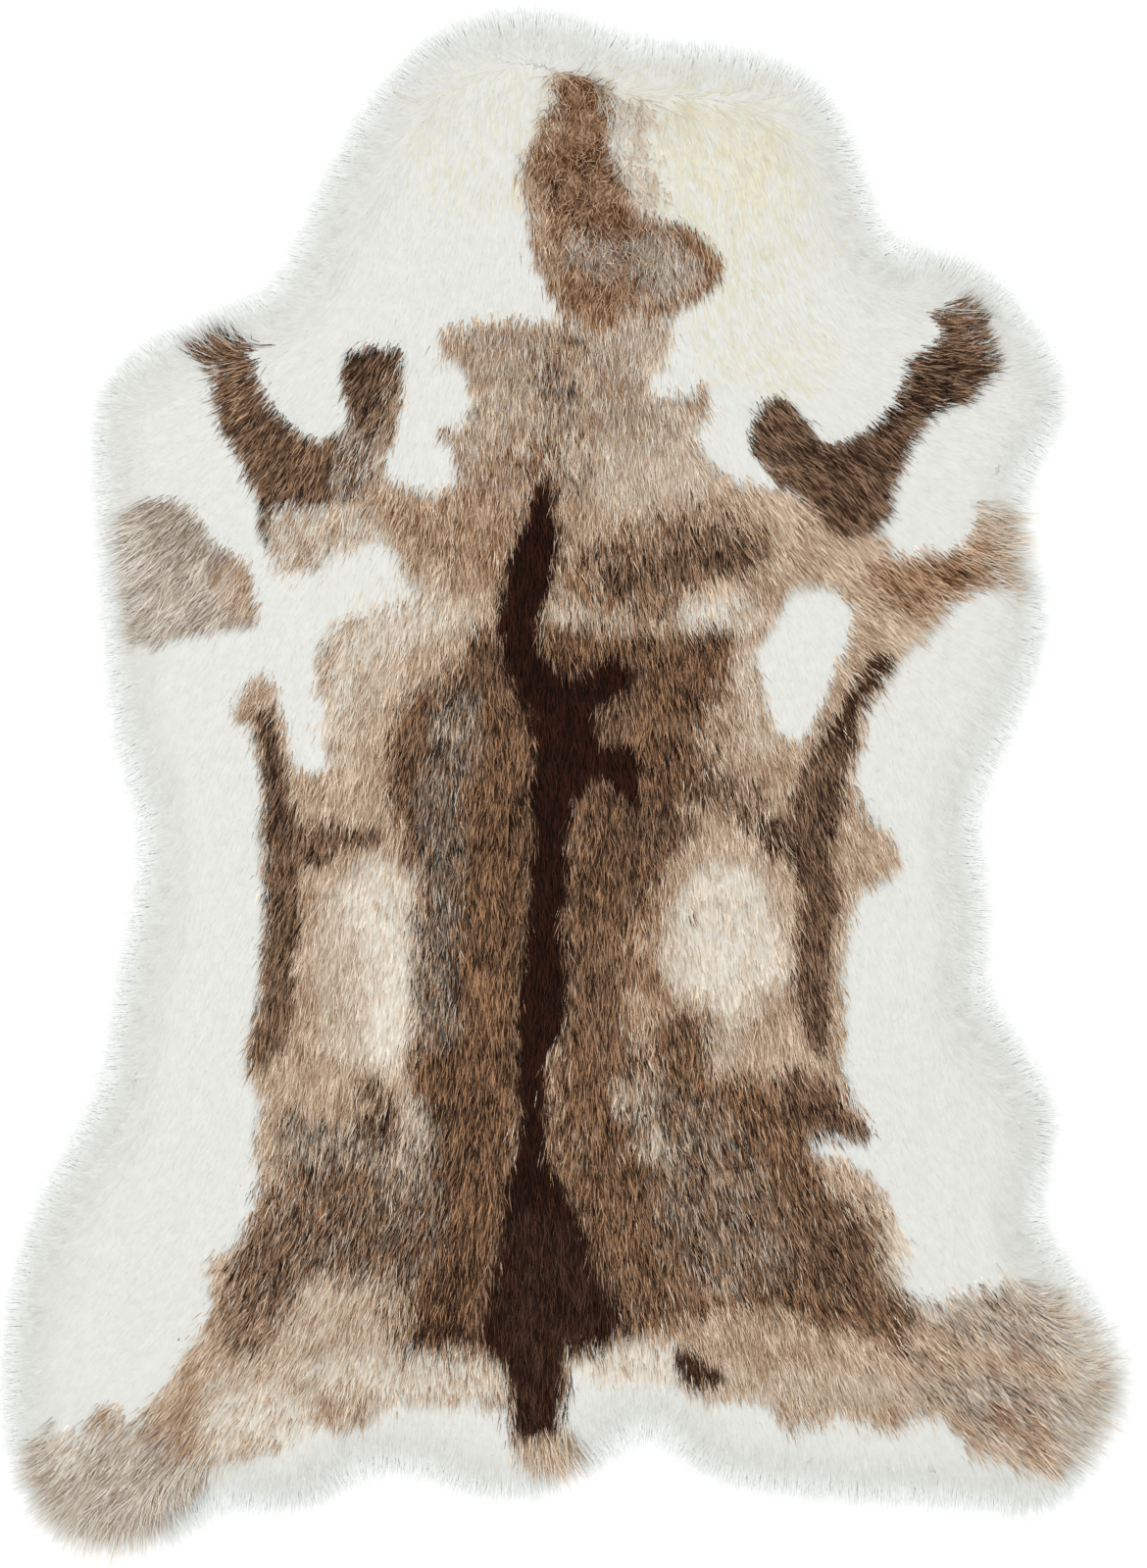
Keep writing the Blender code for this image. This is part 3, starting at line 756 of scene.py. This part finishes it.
class Rug:
    """What the pieces share: the skin's outline, and the height, lie and tone of the pile."""

    def __init__(self):
        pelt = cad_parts[PELT]
        low, high = (np.array(corner)[:2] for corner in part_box(PELT))
        self.low, self.high = low - LATTICE_MARGIN, high + LATTICE_MARGIN
        self.skin = skin_outline(pelt)
        self.lattice = Lattice(self.low, self.high, LATTICE)
        self.edge = signed_distance(self.lattice.places, self.skin)
        self.height = self.pile_height(pelt)
        self.outward = self.outward_directions()
        self.comb = self.combing()
        self.marking_lattice = Lattice(self.low, self.high, MARKING_LATTICE)
        self.covers = [self.cover(name, outline) for name, _, _, _, outline in MARKINGS]
        self.sleek = self.sleekness()

    def pile_height(self, pelt):
        """Height of the pile's top, lower towards the tips of the rim hair."""
        tree = BVHTree.FromPolygons([vertex.co for vertex in pelt.data.vertices],
                                    [face.vertices for face in pelt.data.polygons])
        heights = np.full(len(self.lattice.places), PILE_USUAL)
        for index, place in enumerate(self.lattice.places):
            hit = tree.ray_cast(Vector((*place, RAY_HEIGHT)), Vector((0, 0, -1)))[0]
            if hit is not None and hit.z > SLAB_TOP_LEAST:
                heights[index] = hit.z
        distances, shares = zip(*RIM_HEIGHTS)
        return heights * np.interp(self.edge, np.array(distances) * MM, shares)

    def undercoat_top(self, places):
        """Height of the undercoat's top, nearer the pile's top where the coat is sleek."""
        sizes = bpy.context.scene.rug_sizes
        sleek = fade(*SLEEK_OVER, self.marking_lattice.read(self.sleek, places))
        depth = sizes.undercoat_depth + (sizes.sleek_depth - sizes.undercoat_depth) * sleek
        return self.lattice.read(self.height, places) - depth

    def outward_directions(self):
        """Unit vectors that point away from the middle of the rug, square to its edge."""
        grid = self.edge.reshape(self.lattice.count)
        across, along = np.gradient(grid)
        return -unit(np.stack([across, along], axis=-1).reshape(-1, 2))

    def combing(self):
        """Direction in which the hair lies, shorter than 1 where it stands up."""
        rows = np.array(COMBING, float)
        spots, angles = rows[:, :2] * MM, np.radians(rows[:, 2])
        gaps = self.lattice.places[:, None, :] - spots[None, :, :]
        weights = np.exp(-np.sum(gaps * gaps, axis=-1) / (2 * COMB_REACH ** 2)) + TINY
        ways = np.stack([np.cos(angles), np.sin(angles)], axis=-1)
        combed = weights @ ways / weights.sum(axis=1, keepdims=True)
        for across, along, reach, amount in CURLS:
            gaps = self.lattice.places / MM - (across, along)
            curly = amount * np.exp(-np.sum(gaps * gaps, axis=1) / (2 * reach ** 2))
            combed *= (1 - curly)[:, None]
        turn = RIM_TURN_MOST * fade(RIM_TURN[1], RIM_TURN[0], self.edge)[:, None]
        return combed * (1 - turn) + self.outward * turn

    def cover(self, name, outline):
        """Distance inside a marking, on the marking lattice."""
        loop = smooth_loop(outline) * MM
        places = self.marking_lattice.places
        near = np.all((places > loop.min(axis=0) - MARKING_REACH)
                      & (places < loop.max(axis=0) + MARKING_REACH), axis=1)
        distances = np.full(len(places), -MARKING_REACH)
        distances[near] = signed_distance(places[near], loop)
        return distances + MARKINGS_GROWN.get(name, 0)

    def tones(self, places, chances):
        """Index of the tone at each place; chances pick among tones that mix there."""
        warped = places.copy()
        for distance, amount, seed in MARKING_WOBBLE:
            for axis in (0, 1):
                warped[:, axis] += lattice_noise(places, distance * MM, seed + axis) * amount * MM
        names = [tone for tone, _, _, _, _ in TONES]
        found = np.zeros(len(places), int)
        for row, (_, tone, share, softness, _) in enumerate(MARKINGS):
            inside = self.marking_lattice.read(self.covers[row], warped)
            weight = share * fade(-softness * MM, softness * MM, inside)
            found = np.where(chances[:, row] < weight, names.index(tone), found)
        return found

    def sleekness(self):
        """How sleek the coat is on the marking lattice: 1 where white, 0 where brown."""
        whiteness = {tone: fade(*SLEEK_FROM, (sum(dark) + sum(light)) / 6 / 255)
                     for tone, dark, light, _, _ in TONES}
        found = np.full(len(self.marking_lattice.places), whiteness[TONES[0][0]])
        for cover, (_, tone, share, softness, _) in zip(self.covers, MARKINGS):
            weight = share * fade(-softness * MM, softness * MM, cover)
            found += weight * (whiteness[tone] - found)
        return found


@functools.cache
def the_rug():
    """The rug's shared fields, worked out once."""
    return Rug()


def even_places(rug, count, seed, low, high):
    """Evenly scattered places whose distance inside the skin's edge is from low to high."""
    kept = np.zeros((0, 2))
    batch = 0
    while len(kept) < count:
        numbers = np.arange(batch * count, (batch + 1) * count)[:, None]
        shares = (seed * SCATTER_START + (numbers + 1) * np.array(SCATTER_STEP)) % 1
        places = rug.low + shares * (rug.high - rug.low)
        edge = rug.lattice.read(rug.edge, places)
        kept = np.concatenate([kept, places[(edge >= low) & (edge <= high)]])
        batch += 1
    return kept[:count]


def tufts(places, seed):
    """Centre of the tuft that each place belongs to, and a random value of that tuft."""
    jitter = np.random.default_rng(seed).uniform(0, 1, (TUFT_CELLS, TUFT_CELLS, 3))
    cell = np.floor(places / TUFT_SPACING).astype(int)
    best = np.full(len(places), np.inf)
    centres = np.zeros_like(places)
    values = np.zeros(len(places))
    for step_x in (-1, 0, 1):
        for step_y in (-1, 0, 1):
            near = cell + (step_x, step_y)
            random = jitter[near[:, 0] % TUFT_CELLS, near[:, 1] % TUFT_CELLS]
            centre = (near + random[:, :2]) * TUFT_SPACING
            gap = np.sum((places - centre) ** 2, axis=1)
            closer = gap < best
            best = np.where(closer, gap, best)
            centres[closer] = centre[closer]
            values[closer] = random[closer, 2]
    return centres, values


def hair_colours(rug, places, tuft_values, chance, shade=(1.0, 1.0)):
    """Linear colour of each hair, picked by the markings at its place, with painted shade that scales
    darker tones down to shade[0] (none by default; the undercoat uses it for the shade deep in the
    pile).
    """
    count = len(places)
    own = chance.random((count, len(MARKINGS)))
    follows = chance.random((count, len(MARKINGS))) < TUFT_FOLLOWS
    shared = (tuft_values[:, None] + np.arange(len(MARKINGS)) * TUFT_STRIDE) % 1
    tone = rug.tones(places, np.where(follows, shared, own))
    settings = bpy.context.scene.rug_colours
    dark = np.array([getattr(settings, tone_key(row[0], "dark"))[:] for row in TONES])
    light = np.array([getattr(settings, tone_key(row[0], "light"))[:] for row in TONES])
    hair_spread = np.array([row[3] for row in TONES])[tone]
    tuft_spread = np.array([row[4] for row in TONES])[tone]
    mottle = sum(share * lattice_noise(places, distance * MM, seed)
                 for distance, share, seed in MOTTLES)
    mix = 0.5 + hair_spread * (chance.random(count) - 0.5)
    mix += tuft_spread * ((tuft_values - 0.5) * 0.5 + mottle * 0.5)
    mix = np.clip(mix, 0, 1)[:, None]
    colours = screen_to_light(dark[tone] * (1 - mix) + light[tone] * mix)
    # Painted shade: darker tones are scaled down towards shade[0], pale ones not at all.
    lightness = fade(*PAINTED_SHADE_FROM, colours.mean(axis=1, keepdims=True))
    return colours * (shade[0] + (shade[1] - shade[0]) * lightness)


def coloured_mesh(name, vertices, faces, colours, corner_uvs=None):
    """Mesh with a colour at each vertex, from faces given by their number of corners."""
    mesh = bpy.data.meshes.new(name)
    mesh.vertices.add(len(vertices))
    mesh.vertices.foreach_set("co", vertices.astype(np.float32).ravel())
    sizes, corners = faces
    mesh.loops.add(len(corners))
    mesh.loops.foreach_set("vertex_index", corners.astype(np.int32))
    mesh.polygons.add(len(sizes))
    starts = np.concatenate([[0], np.cumsum(sizes)[:-1]])
    mesh.polygons.foreach_set("loop_start", starts.astype(np.int32))
    mesh.update(calc_edges=True)
    if colours is not None:
        layer = mesh.color_attributes.new(COLOUR_LAYER, "FLOAT_COLOR", "POINT")
        alpha = np.ones((len(vertices), 1))
        layer.data.foreach_set("color", np.hstack([colours, alpha]).astype(np.float32).ravel())
    if corner_uvs is not None:
        layer = mesh.uv_layers.new(name=BAKE_LAYER)
        layer.data.foreach_set("uv", corner_uvs.astype(np.float32).ravel())
    mesh.shade_smooth()
    return mesh


def add_piece(name, mesh, material):
    """Link a piece, let it ride on the rug and stand for the pelt."""
    mesh.materials.append(material)
    piece = bpy.data.objects.new(name, mesh)
    bpy.context.scene.collection.objects.link(piece)
    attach(piece, BODY)
    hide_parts(PELT)
    return piece


def cell_uvs(roots, points, corners):
    """Texture places that give each hair a cell of its own, near those of its neighbours."""
    count = len(roots)
    side = math.ceil(math.sqrt(count))
    rank = np.argsort(np.argsort(roots[:, 1], kind="stable"), kind="stable")
    cell_row = rank // side
    order = np.lexsort((roots[:, 0], cell_row))
    cell_column = np.zeros(count, int)
    cell_column[order] = np.arange(count) % side
    levels = np.linspace(CELL_INSET, 1 - CELL_INSET, points)
    local = [(edge, level) for level in levels[:-1] for edge in (CELL_INSET, 1 - CELL_INSET)]
    local.append((0.5, levels[-1]))
    cells = np.stack([cell_column, cell_row], axis=-1)
    uvs = (cells[:, None, :] + np.array(local)[np.array(corners)][None, :, :]) / side
    return uvs.reshape(-1, 2)


def hair_mesh(name, rows, sides, widths, normals, colours):
    """Ribbons for hairs: rows of points from root to tip, the last one a pointed tip.

    rows, normals and colours have the shape (hairs, points, 3), sides (hairs, 3) and
    widths (points - 1,).
    """
    count, points = rows.shape[:2]
    segments = points - 1
    each = 2 * segments + 1
    offset = sides[:, None, :] * widths[None, :segments, None] / 2
    pairs = np.stack([rows[:, :segments] - offset, rows[:, :segments] + offset], axis=2)
    vertices = np.concatenate([pairs.reshape(count, -1, 3), rows[:, segments:]], axis=1)
    tints, ways = (np.concatenate([np.repeat(values[:, :segments], 2, axis=1),
                                   values[:, segments:]], axis=1).reshape(-1, 3)
                   for values in (colours, normals))

    corners = []
    for step in range(segments - 1):
        corners += [2 * step + 1, 2 * step, 2 * step + 2, 2 * step + 3]
    corners += [2 * segments - 1, 2 * segments - 2, 2 * segments]
    sizes = [4] * (segments - 1) + [3]
    all_corners = (np.array(corners)[None, :] + np.arange(count)[:, None] * each).ravel()

    mesh = coloured_mesh(name, vertices.reshape(-1, 3), (np.tile(sizes, count), all_corners),
                         tints, cell_uvs(rows[:, 0, :2], points, corners))
    mesh.normals_split_custom_set_from_vertices(ways.tolist())
    return mesh


def hair_headings(roots, lie, strength, sleek, chance):
    """Angle across the floor in which each hair runs, from its lie and the coat's waves."""
    heading = np.arctan2(lie[:, 1], lie[:, 0])
    wave = lattice_noise(roots, WAVE_DISTANCE, WAVE_SEED) * WAVE_ANGLE
    wave += chance.normal(0, HEADING_SPREAD, len(roots))
    wave *= 1 + CURL_GAIN * (1 - strength) / (1 - LIE_LEAST)
    return heading + np.radians(wave * (1 - SLEEK_WAVES * sleek))


def hair_courses(rug, roots, heading, lengths, strength, sleek, kind, chance):
    """Points of each hair from root to tip, and the unit way of each of its parts."""
    count = len(roots)
    curl = 1 + chance.uniform(0, kind["droop"], count)
    ground = rug.lattice.read(rug.height, roots)
    sizes = bpy.context.scene.rug_sizes
    rise = SLEEK_RISE * (1 + chance.random(count))
    rough = ground - sizes.undercoat_depth - ROOT_SINK
    start = np.maximum(rough * (1 - sleek) + (rug.undercoat_top(roots) + rise) * sleek,
                       sizes.skin_thickness + FLOOR_CLEARANCE)
    points = [np.column_stack([roots, start])]
    ways = []
    for share, lean, sleek_lean in zip(kind["shares"], kind["leans"], kind["sleek_leans"]):
        unevenness = chance.normal(0, LEAN_SPREAD, count) * (1 - SLEEK_EVEN * sleek)
        lean = lean * strength * curl * (1 - sleek) + sleek_lean * sleek
        angle = np.radians(lean + unevenness)
        way = np.column_stack([np.cos(heading) * np.sin(angle), np.sin(heading) * np.sin(angle),
                               np.cos(angle)])
        ways.append(way)
        point = points[-1] + way * (lengths * share)[:, None]
        hugging = rug.undercoat_top(point[:, :2]) + rise
        point[:, 2] = np.minimum(point[:, 2], ground + TIP_ROOM) * (1 - sleek) + hugging * sleek
        point[:, 2] = np.maximum(point[:, 2], FLOOR_CLEARANCE + rise * sleek)
        rise = rise + SLEEK_STEP
        points.append(point)
    return np.stack(points, axis=1), ways


def hair_sides(heading, ways, sleek, chance):
    """Unit vector from one edge of each ribbon to the other, rolled a little about its first part."""
    across = np.column_stack([-np.sin(heading), np.cos(heading), np.zeros(len(heading))])
    turns = chance.uniform(-ROLL_SPREAD, ROLL_SPREAD, len(heading))
    roll = np.radians(turns * (1 - sleek))[:, None]
    return across * np.cos(roll) + np.cross(ways[0], across) * np.sin(roll)


def hair_normals(ways, sides, sleek):
    """Shading normals along each ribbon, turned upward, most of all where the hair is sleek."""
    facing = unit(np.cross(np.stack([*ways, ways[-1]], axis=1), sides[:, None, :]))
    low, high = SLEEK_UPRIGHT
    upright = (low + (high - low) * sleek)[:, None, None]
    return unit(facing * (1 - upright) + np.array([0.0, 0.0, 1.0]) * upright)


def hair_shades(rug, rows, tint):
    """Colours from a dark root to a light tip, partly the hair's own bands and partly painted shade
    at the root and painted highlight at the tip, with painted light that makes pale hair whiter where
    it hangs over the rim.
    """
    count, points = rows.shape[:2]
    fringe = fade(*FRINGE_FROM, rug.lattice.read(rug.edge, rows[:, :, :2].reshape(-1, 2)))
    pale = fade(*PALE_FROM, tint.mean(axis=1, keepdims=True))
    root_tint = tint * (ROOT_DARK_AND_SHADE + (WHITE_ROOT - ROOT_DARK_AND_SHADE) * pale)
    tip_gain = TIP_LIGHT_AND_HIGHLIGHT + (1 - TIP_LIGHT_AND_HIGHLIGHT) * pale
    blend = np.linspace(0, 1, points)[None, :, None]
    # Painted shade at the root and painted highlight at the tip, on top of the hair's own bands.
    colours = root_tint[:, None, :] * (1 - blend) + (tint * tip_gain)[:, None, :] * blend
    # Painted light: pale hair near the rim is made lighter and bluer.
    colours *= 1 + np.array(FRINGE_PAINTED_LIGHT) * pale[:, None, :] * fringe.reshape(count, points, 1)
    return np.clip(colours, 0, 1)


def grow(rug, name, count, seed, band, length, width, clumping, kind):
    """Mesh of hairs rooted evenly where the distance inside the skin's edge is in the band."""
    chance = np.random.default_rng(seed)
    roots = even_places(rug, count, seed, *band)
    roots = roots + chance.normal(0, ROOT_JITTER, roots.shape)
    lie = rug.lattice.read(rug.comb, roots)
    strength = np.clip(np.linalg.norm(lie, axis=1) * LIE_GAIN, LIE_LEAST, 1)
    centres, tuft_values = tufts(roots, TUFT_SEED)
    reach = length * REACH_SHARE
    seen = roots + unit(lie) * reach * kind["colour_at"]
    tint = hair_colours(rug, seen, tuft_values, chance)
    sleek = fade(*SLEEK_OVER, rug.marking_lattice.read(rug.sleek, seen))
    sleek = sleek * fade(*SLEEK_TINTS, tint.mean(axis=1))
    drawn = centres + unit(lie) * reach - roots
    pull = (clumping * (1 - SLEEK_TUFTS * sleek))[:, None]
    lie = unit(unit(lie) * reach + pull * (drawn - unit(lie) * reach))
    heading = hair_headings(roots, lie, strength, sleek, chance)
    lengths = length * (1 + chance.normal(0, kind["length_spread"], count)).clip(*LENGTH_LIMITS)
    lengths *= 1 - kind["dark_shorter"] * (1 - fade(*PALE_FROM, tint.mean(axis=1)))
    rows, ways = hair_courses(rug, roots, heading, lengths, strength, sleek, kind, chance)
    sides = hair_sides(heading, ways, sleek, chance)
    normals = hair_normals(ways, sides, sleek)
    sides = sides * (1 + kind["wider"] * sleek)[:, None]
    widths = width * np.linspace(1.0, kind["tip_width"], len(ways))
    return hair_mesh(name, rows, sides, widths, normals, hair_shades(rug, rows, tint))


def slab_mesh(name, rug, inset, low, top_height, step=None, colours=None):
    """Closed body over the skin's outline, with a flat underside at low."""
    skin = rug.skin - unit(rug.lattice.read(rug.outward, rug.skin)) * inset
    loop = list(range(len(skin)))
    inner = np.zeros((0, 2))
    if step:
        columns = np.arange(rug.low[0], rug.high[0], step)
        rows = np.arange(rug.low[1], rug.high[1], step * math.sqrt(3) / 2)
        grid = np.array([(x + step / 2 * (number % 2), y)
                         for number, y in enumerate(rows) for x in columns])
        inner = grid[rug.lattice.read(rug.edge, grid) > inset + step / 2]
    flat = [Vector(place) for place in np.concatenate([skin, inner])]
    places, _, tops, _, _, _ = delaunay_2d_cdt(flat, [], [loop], FILL_INSIDE, FILL_MERGE)
    places = np.array([place[:] for place in places])
    heights = top_height(places) if callable(top_height) else np.full(len(places), top_height)
    under, _, unders, _, _, _ = delaunay_2d_cdt(flat[:len(skin)], [], [loop],
                                                FILL_INSIDE, FILL_MERGE)
    under = np.array([place[:] for place in under])

    count = len(places)
    vertices = np.concatenate([np.column_stack([places, heights]),
                               np.column_stack([under, np.full(len(under), low)])])
    faces = [tuple(face) for face in tops]
    faces += [tuple(count + corner for corner in reversed(face)) for face in unders]
    for index in loop:
        following = (index + 1) % len(loop)
        faces.append((count + index, count + following, following, index))
    sizes = np.array([len(face) for face in faces])
    corners = np.array([corner for face in faces for corner in face])
    tints = None if colours is None else colours(vertices[:, :2])
    return coloured_mesh(name, vertices, (sizes, corners), tints)


def node(tree, kind, **inputs):
    """Add a shader node and set its inputs by name."""
    made = tree.nodes.new(kind)
    for name, value in inputs.items():
        made.inputs[name.replace("_", " ")].default_value = value
    return made


def matt_material(name, roughness, shine=HAIR_SHINE):
    """New material with a rough surface, its node tree and its shader."""
    material = bpy.data.materials.new(name)
    material.use_nodes = True
    tree = material.node_tree
    shader = tree.nodes["Principled BSDF"]
    shader.inputs["Roughness"].default_value = roughness
    shader.inputs["Specular IOR Level"].default_value = shine
    return material, tree, shader


def hair_material(name, roughness, grain, grain_scale, bump=0.0):
    """Matt hair: the colour of each hair, broken up by a fine grain."""
    material, tree, shader = matt_material(name, roughness)
    link = tree.links.new
    colour = tree.nodes.new("ShaderNodeAttribute")
    colour.attribute_name = COLOUR_LAYER
    place = tree.nodes.new("ShaderNodeTexCoord")
    noise = node(tree, "ShaderNodeTexNoise", Scale=grain_scale, Detail=2.0)
    spread = node(tree, "ShaderNodeMapRange", To_Min=1 - grain, To_Max=1 + grain)
    tint = tree.nodes.new("ShaderNodeVectorMath")
    tint.operation = "SCALE"
    link(place.outputs["Object"], noise.inputs["Vector"])
    link(noise.outputs["Fac"], spread.inputs["Value"])
    link(colour.outputs["Color"], tint.inputs[0])
    link(spread.outputs["Result"], tint.inputs["Scale"])
    link(tint.outputs["Vector"], shader.inputs["Base Color"])
    if bump:
        stretch = node(tree, "ShaderNodeVectorMath")
        stretch.operation = "MULTIPLY"
        stretch.inputs[1].default_value = UNDERCOAT_STRETCH
        strands = node(tree, "ShaderNodeTexNoise", Scale=1.0, Detail=3.0)
        relief = node(tree, "ShaderNodeBump", Strength=bump, Distance=1 * MM)
        link(place.outputs["Object"], stretch.inputs[0])
        link(stretch.outputs["Vector"], strands.inputs["Vector"])
        link(strands.outputs["Fac"], relief.inputs["Height"])
        link(relief.outputs["Normal"], shader.inputs["Normal"])
    return material


def skin_material(colour):
    """Suede of the skin's underside: soft blotches and a fine nap."""
    material, tree, shader = matt_material("skin suede", SUEDE_ROUGHNESS)
    link = tree.links.new
    place = tree.nodes.new("ShaderNodeTexCoord")
    blotches = node(tree, "ShaderNodeTexNoise", Scale=SUEDE_BLOTCHES, Detail=4.0)
    nap = node(tree, "ShaderNodeTexNoise", Scale=SUEDE_NAP, Detail=2.0)
    ramp = tree.nodes.new("ShaderNodeValToRGB")
    base = screen_to_light(colour)
    for stop, shade in zip(ramp.color_ramp.elements, SUEDE_SHADES):
        stop.color = (*(base * shade), 1.0)
    relief = node(tree, "ShaderNodeBump", Strength=0.5, Distance=0.4 * MM)
    for texture in (blotches, nap):
        link(place.outputs["Object"], texture.inputs["Vector"])
    link(blotches.outputs["Fac"], ramp.inputs["Fac"])
    link(ramp.outputs["Color"], shader.inputs["Base Color"])
    link(nap.outputs["Fac"], relief.inputs["Height"])
    link(relief.outputs["Normal"], shader.inputs["Normal"])
    return material


class RUG_OT_undercoat(bpy.types.Operator):
    """Build the lumpy undercoat that shows between the hairs"""

    bl_idname = "rug.undercoat"
    bl_label = "Undercoat"

    def execute(self, context):
        rug = the_rug()
        sizes = context.scene.rug_sizes
        low = sizes.skin_thickness + SKIN_GAP
        chance = np.random.default_rng(UNDERCOAT_SEED)

        def top(places):
            return np.maximum(rug.undercoat_top(places), low + UNDERCOAT_LEAST)

        # The undercoat's tone, with painted shade where its tone is dark.
        def colours(places):
            return hair_colours(rug, places, tufts(places, TUFT_SEED)[1], chance, UNDERCOAT_PAINTED_SHADE)

        mesh = slab_mesh("undercoat", rug, UNDERCOAT_INSET, low, top, sizes.undercoat_step, colours)
        add_piece("undercoat", mesh, hair_material("undercoat down", **UNDERCOAT_FINISH))
        return {"FINISHED"}


class RUG_OT_coat(bpy.types.Operator):
    """Grow the layers of coat hair over the whole skin"""

    bl_idname = "rug.coat"
    bl_label = "Coat hair"

    def execute(self, context):
        sizes = context.scene.rug_sizes
        material = hair_material("coat hair", **HAIR_FINISH)
        for layer in range(COAT_LAYERS):
            name = f"coat_{layer + 1}"
            mesh = grow(the_rug(), name, sizes.coat_hairs, COAT_SEED + layer, COAT_BAND,
                        sizes.coat_length, sizes.hair_width, sizes.clumping, COAT_HAIR)
            add_piece(name, mesh, material)
        return {"FINISHED"}


class RUG_OT_rim_hair(bpy.types.Operator):
    """Grow the longer hair that hangs over the rim and settles on the floor"""

    bl_idname = "rug.rim_hair"
    bl_label = "Rim hair"

    def execute(self, context):
        sizes = context.scene.rug_sizes
        mesh = grow(the_rug(), "rim_hair", sizes.rim_hairs, RIM_SEED, RIM_BAND,
                    sizes.rim_length, sizes.rim_width, sizes.clumping, RIM_HAIR)
        add_piece("rim_hair", mesh, hair_material("rim hair", **HAIR_FINISH))
        return {"FINISHED"}


class RUG_OT_skin(bpy.types.Operator):
    """Build the thin skin that carries the hair and lies on the floor"""

    bl_idname = "rug.skin"
    bl_label = "Skin"

    def execute(self, context):
        rug = the_rug()
        mesh = slab_mesh("skin", rug, 0.0, 0.0, context.scene.rug_sizes.skin_thickness)
        skin = add_piece("skin", mesh, skin_material(context.scene.rug_colours.skin))
        return {"FINISHED"}


class RUG_OT_stage(bpy.types.Operator):
    """Set out the pale floor, the soft white light and the camera above"""

    bl_idname = "rug.stage"
    bl_label = "Floor, light and camera"

    def execute(self, context):
        settings = context.scene.rug_stage
        scene = context.scene
        half = settings.floor_size / 2
        mesh = bpy.data.meshes.new("floor")
        corners = [(-half, -half), (half, -half), (half, half), (-half, half)]
        mesh.from_pydata([(x, y, FLOOR_LEVEL) for x, y in corners], [], [(0, 1, 2, 3)])
        material, _, shader = matt_material("pale floor", 1.0, 0.0)
        shader.inputs["Base Color"].default_value = (*FLOOR_COLOUR, 1.0)
        mesh.materials.append(material)
        floor = bpy.data.objects.new("floor", mesh)
        scene.collection.objects.link(floor)

        world = bpy.data.worlds.new("white room")
        world.use_nodes = True
        background = world.node_tree.nodes["Background"]
        background.inputs["Color"].default_value = (1.0, 1.0, 1.0, 1.0)
        background.inputs["Strength"].default_value = settings.sky_strength
        scene.world = world
        scene.view_settings.view_transform = "Standard"

        lamp = bpy.data.lights.new("soft lamp", "AREA")
        lamp.energy = settings.lamp_power
        lamp.size = LAMP_SIZE
        light = bpy.data.objects.new("soft lamp", lamp)
        light.location = LAMP_PLACE
        light.rotation_euler = (-Vector(LAMP_PLACE)).to_track_quat("-Z", "Y").to_euler()
        scene.collection.objects.link(light)

        lens = bpy.data.cameras.new("camera")
        lens.lens = settings.lens
        lens.sensor_width = SENSOR
        lens.clip_end = CAMERA_REACH
        camera = bpy.data.objects.new("camera", lens)
        distance = VIEW_LENGTH * settings.lens / SENSOR
        camera.location = (*VIEW_CENTRE, VIEW_LEVEL + distance)
        scene.collection.objects.link(camera)
        scene.camera = camera
        return {"FINISHED"}


class RUG_PT_panel(bpy.types.Panel):
    """Panel in the 3D view's sidebar with a button for each piece"""

    bl_idname = "RUG_PT_panel"
    bl_label = "Fur Rug"
    bl_space_type = "VIEW_3D"
    bl_region_type = "UI"
    bl_category = "Fur Rug"

    def draw(self, context):
        layout = self.layout
        for step in STEPS:
            layout.operator(step.bl_idname)
        for title, group in (("Sizes", context.scene.rug_sizes),
                             ("Colours", context.scene.rug_colours),
                             ("Stage", context.scene.rug_stage)):
            layout.label(text=title)
            for name in group.bl_rna.properties.keys():
                if name not in ("rna_type", "name"):
                    layout.prop(group, name)


STEPS = (RUG_OT_undercoat, RUG_OT_coat, RUG_OT_rim_hair, RUG_OT_skin, RUG_OT_stage)
GROUPS = (("rug_sizes", RugSizes), ("rug_colours", RugColours), ("rug_stage", StageSettings))


def register():
    """Add the settings, operators and panel to Blender."""
    for _, group in GROUPS:
        bpy.utils.register_class(group)
    for kind in (*STEPS, RUG_PT_panel):
        bpy.utils.register_class(kind)
    for name, group in GROUPS:
        setattr(bpy.types.Scene, name, PointerProperty(type=group))


def unregister():
    """Take the settings, operators and panel out of Blender."""
    for name, _ in GROUPS:
        delattr(bpy.types.Scene, name)
    for kind in (RUG_PT_panel, *reversed(STEPS)):
        bpy.utils.unregister_class(kind)
    for _, group in reversed(GROUPS):
        bpy.utils.unregister_class(group)


def main():
    """Build every piece and the stage."""
    register()
    for step in STEPS:
        group, name = step.bl_idname.split(".")
        getattr(getattr(bpy.ops, group), name)()


if __name__ == "__main__":
    main()
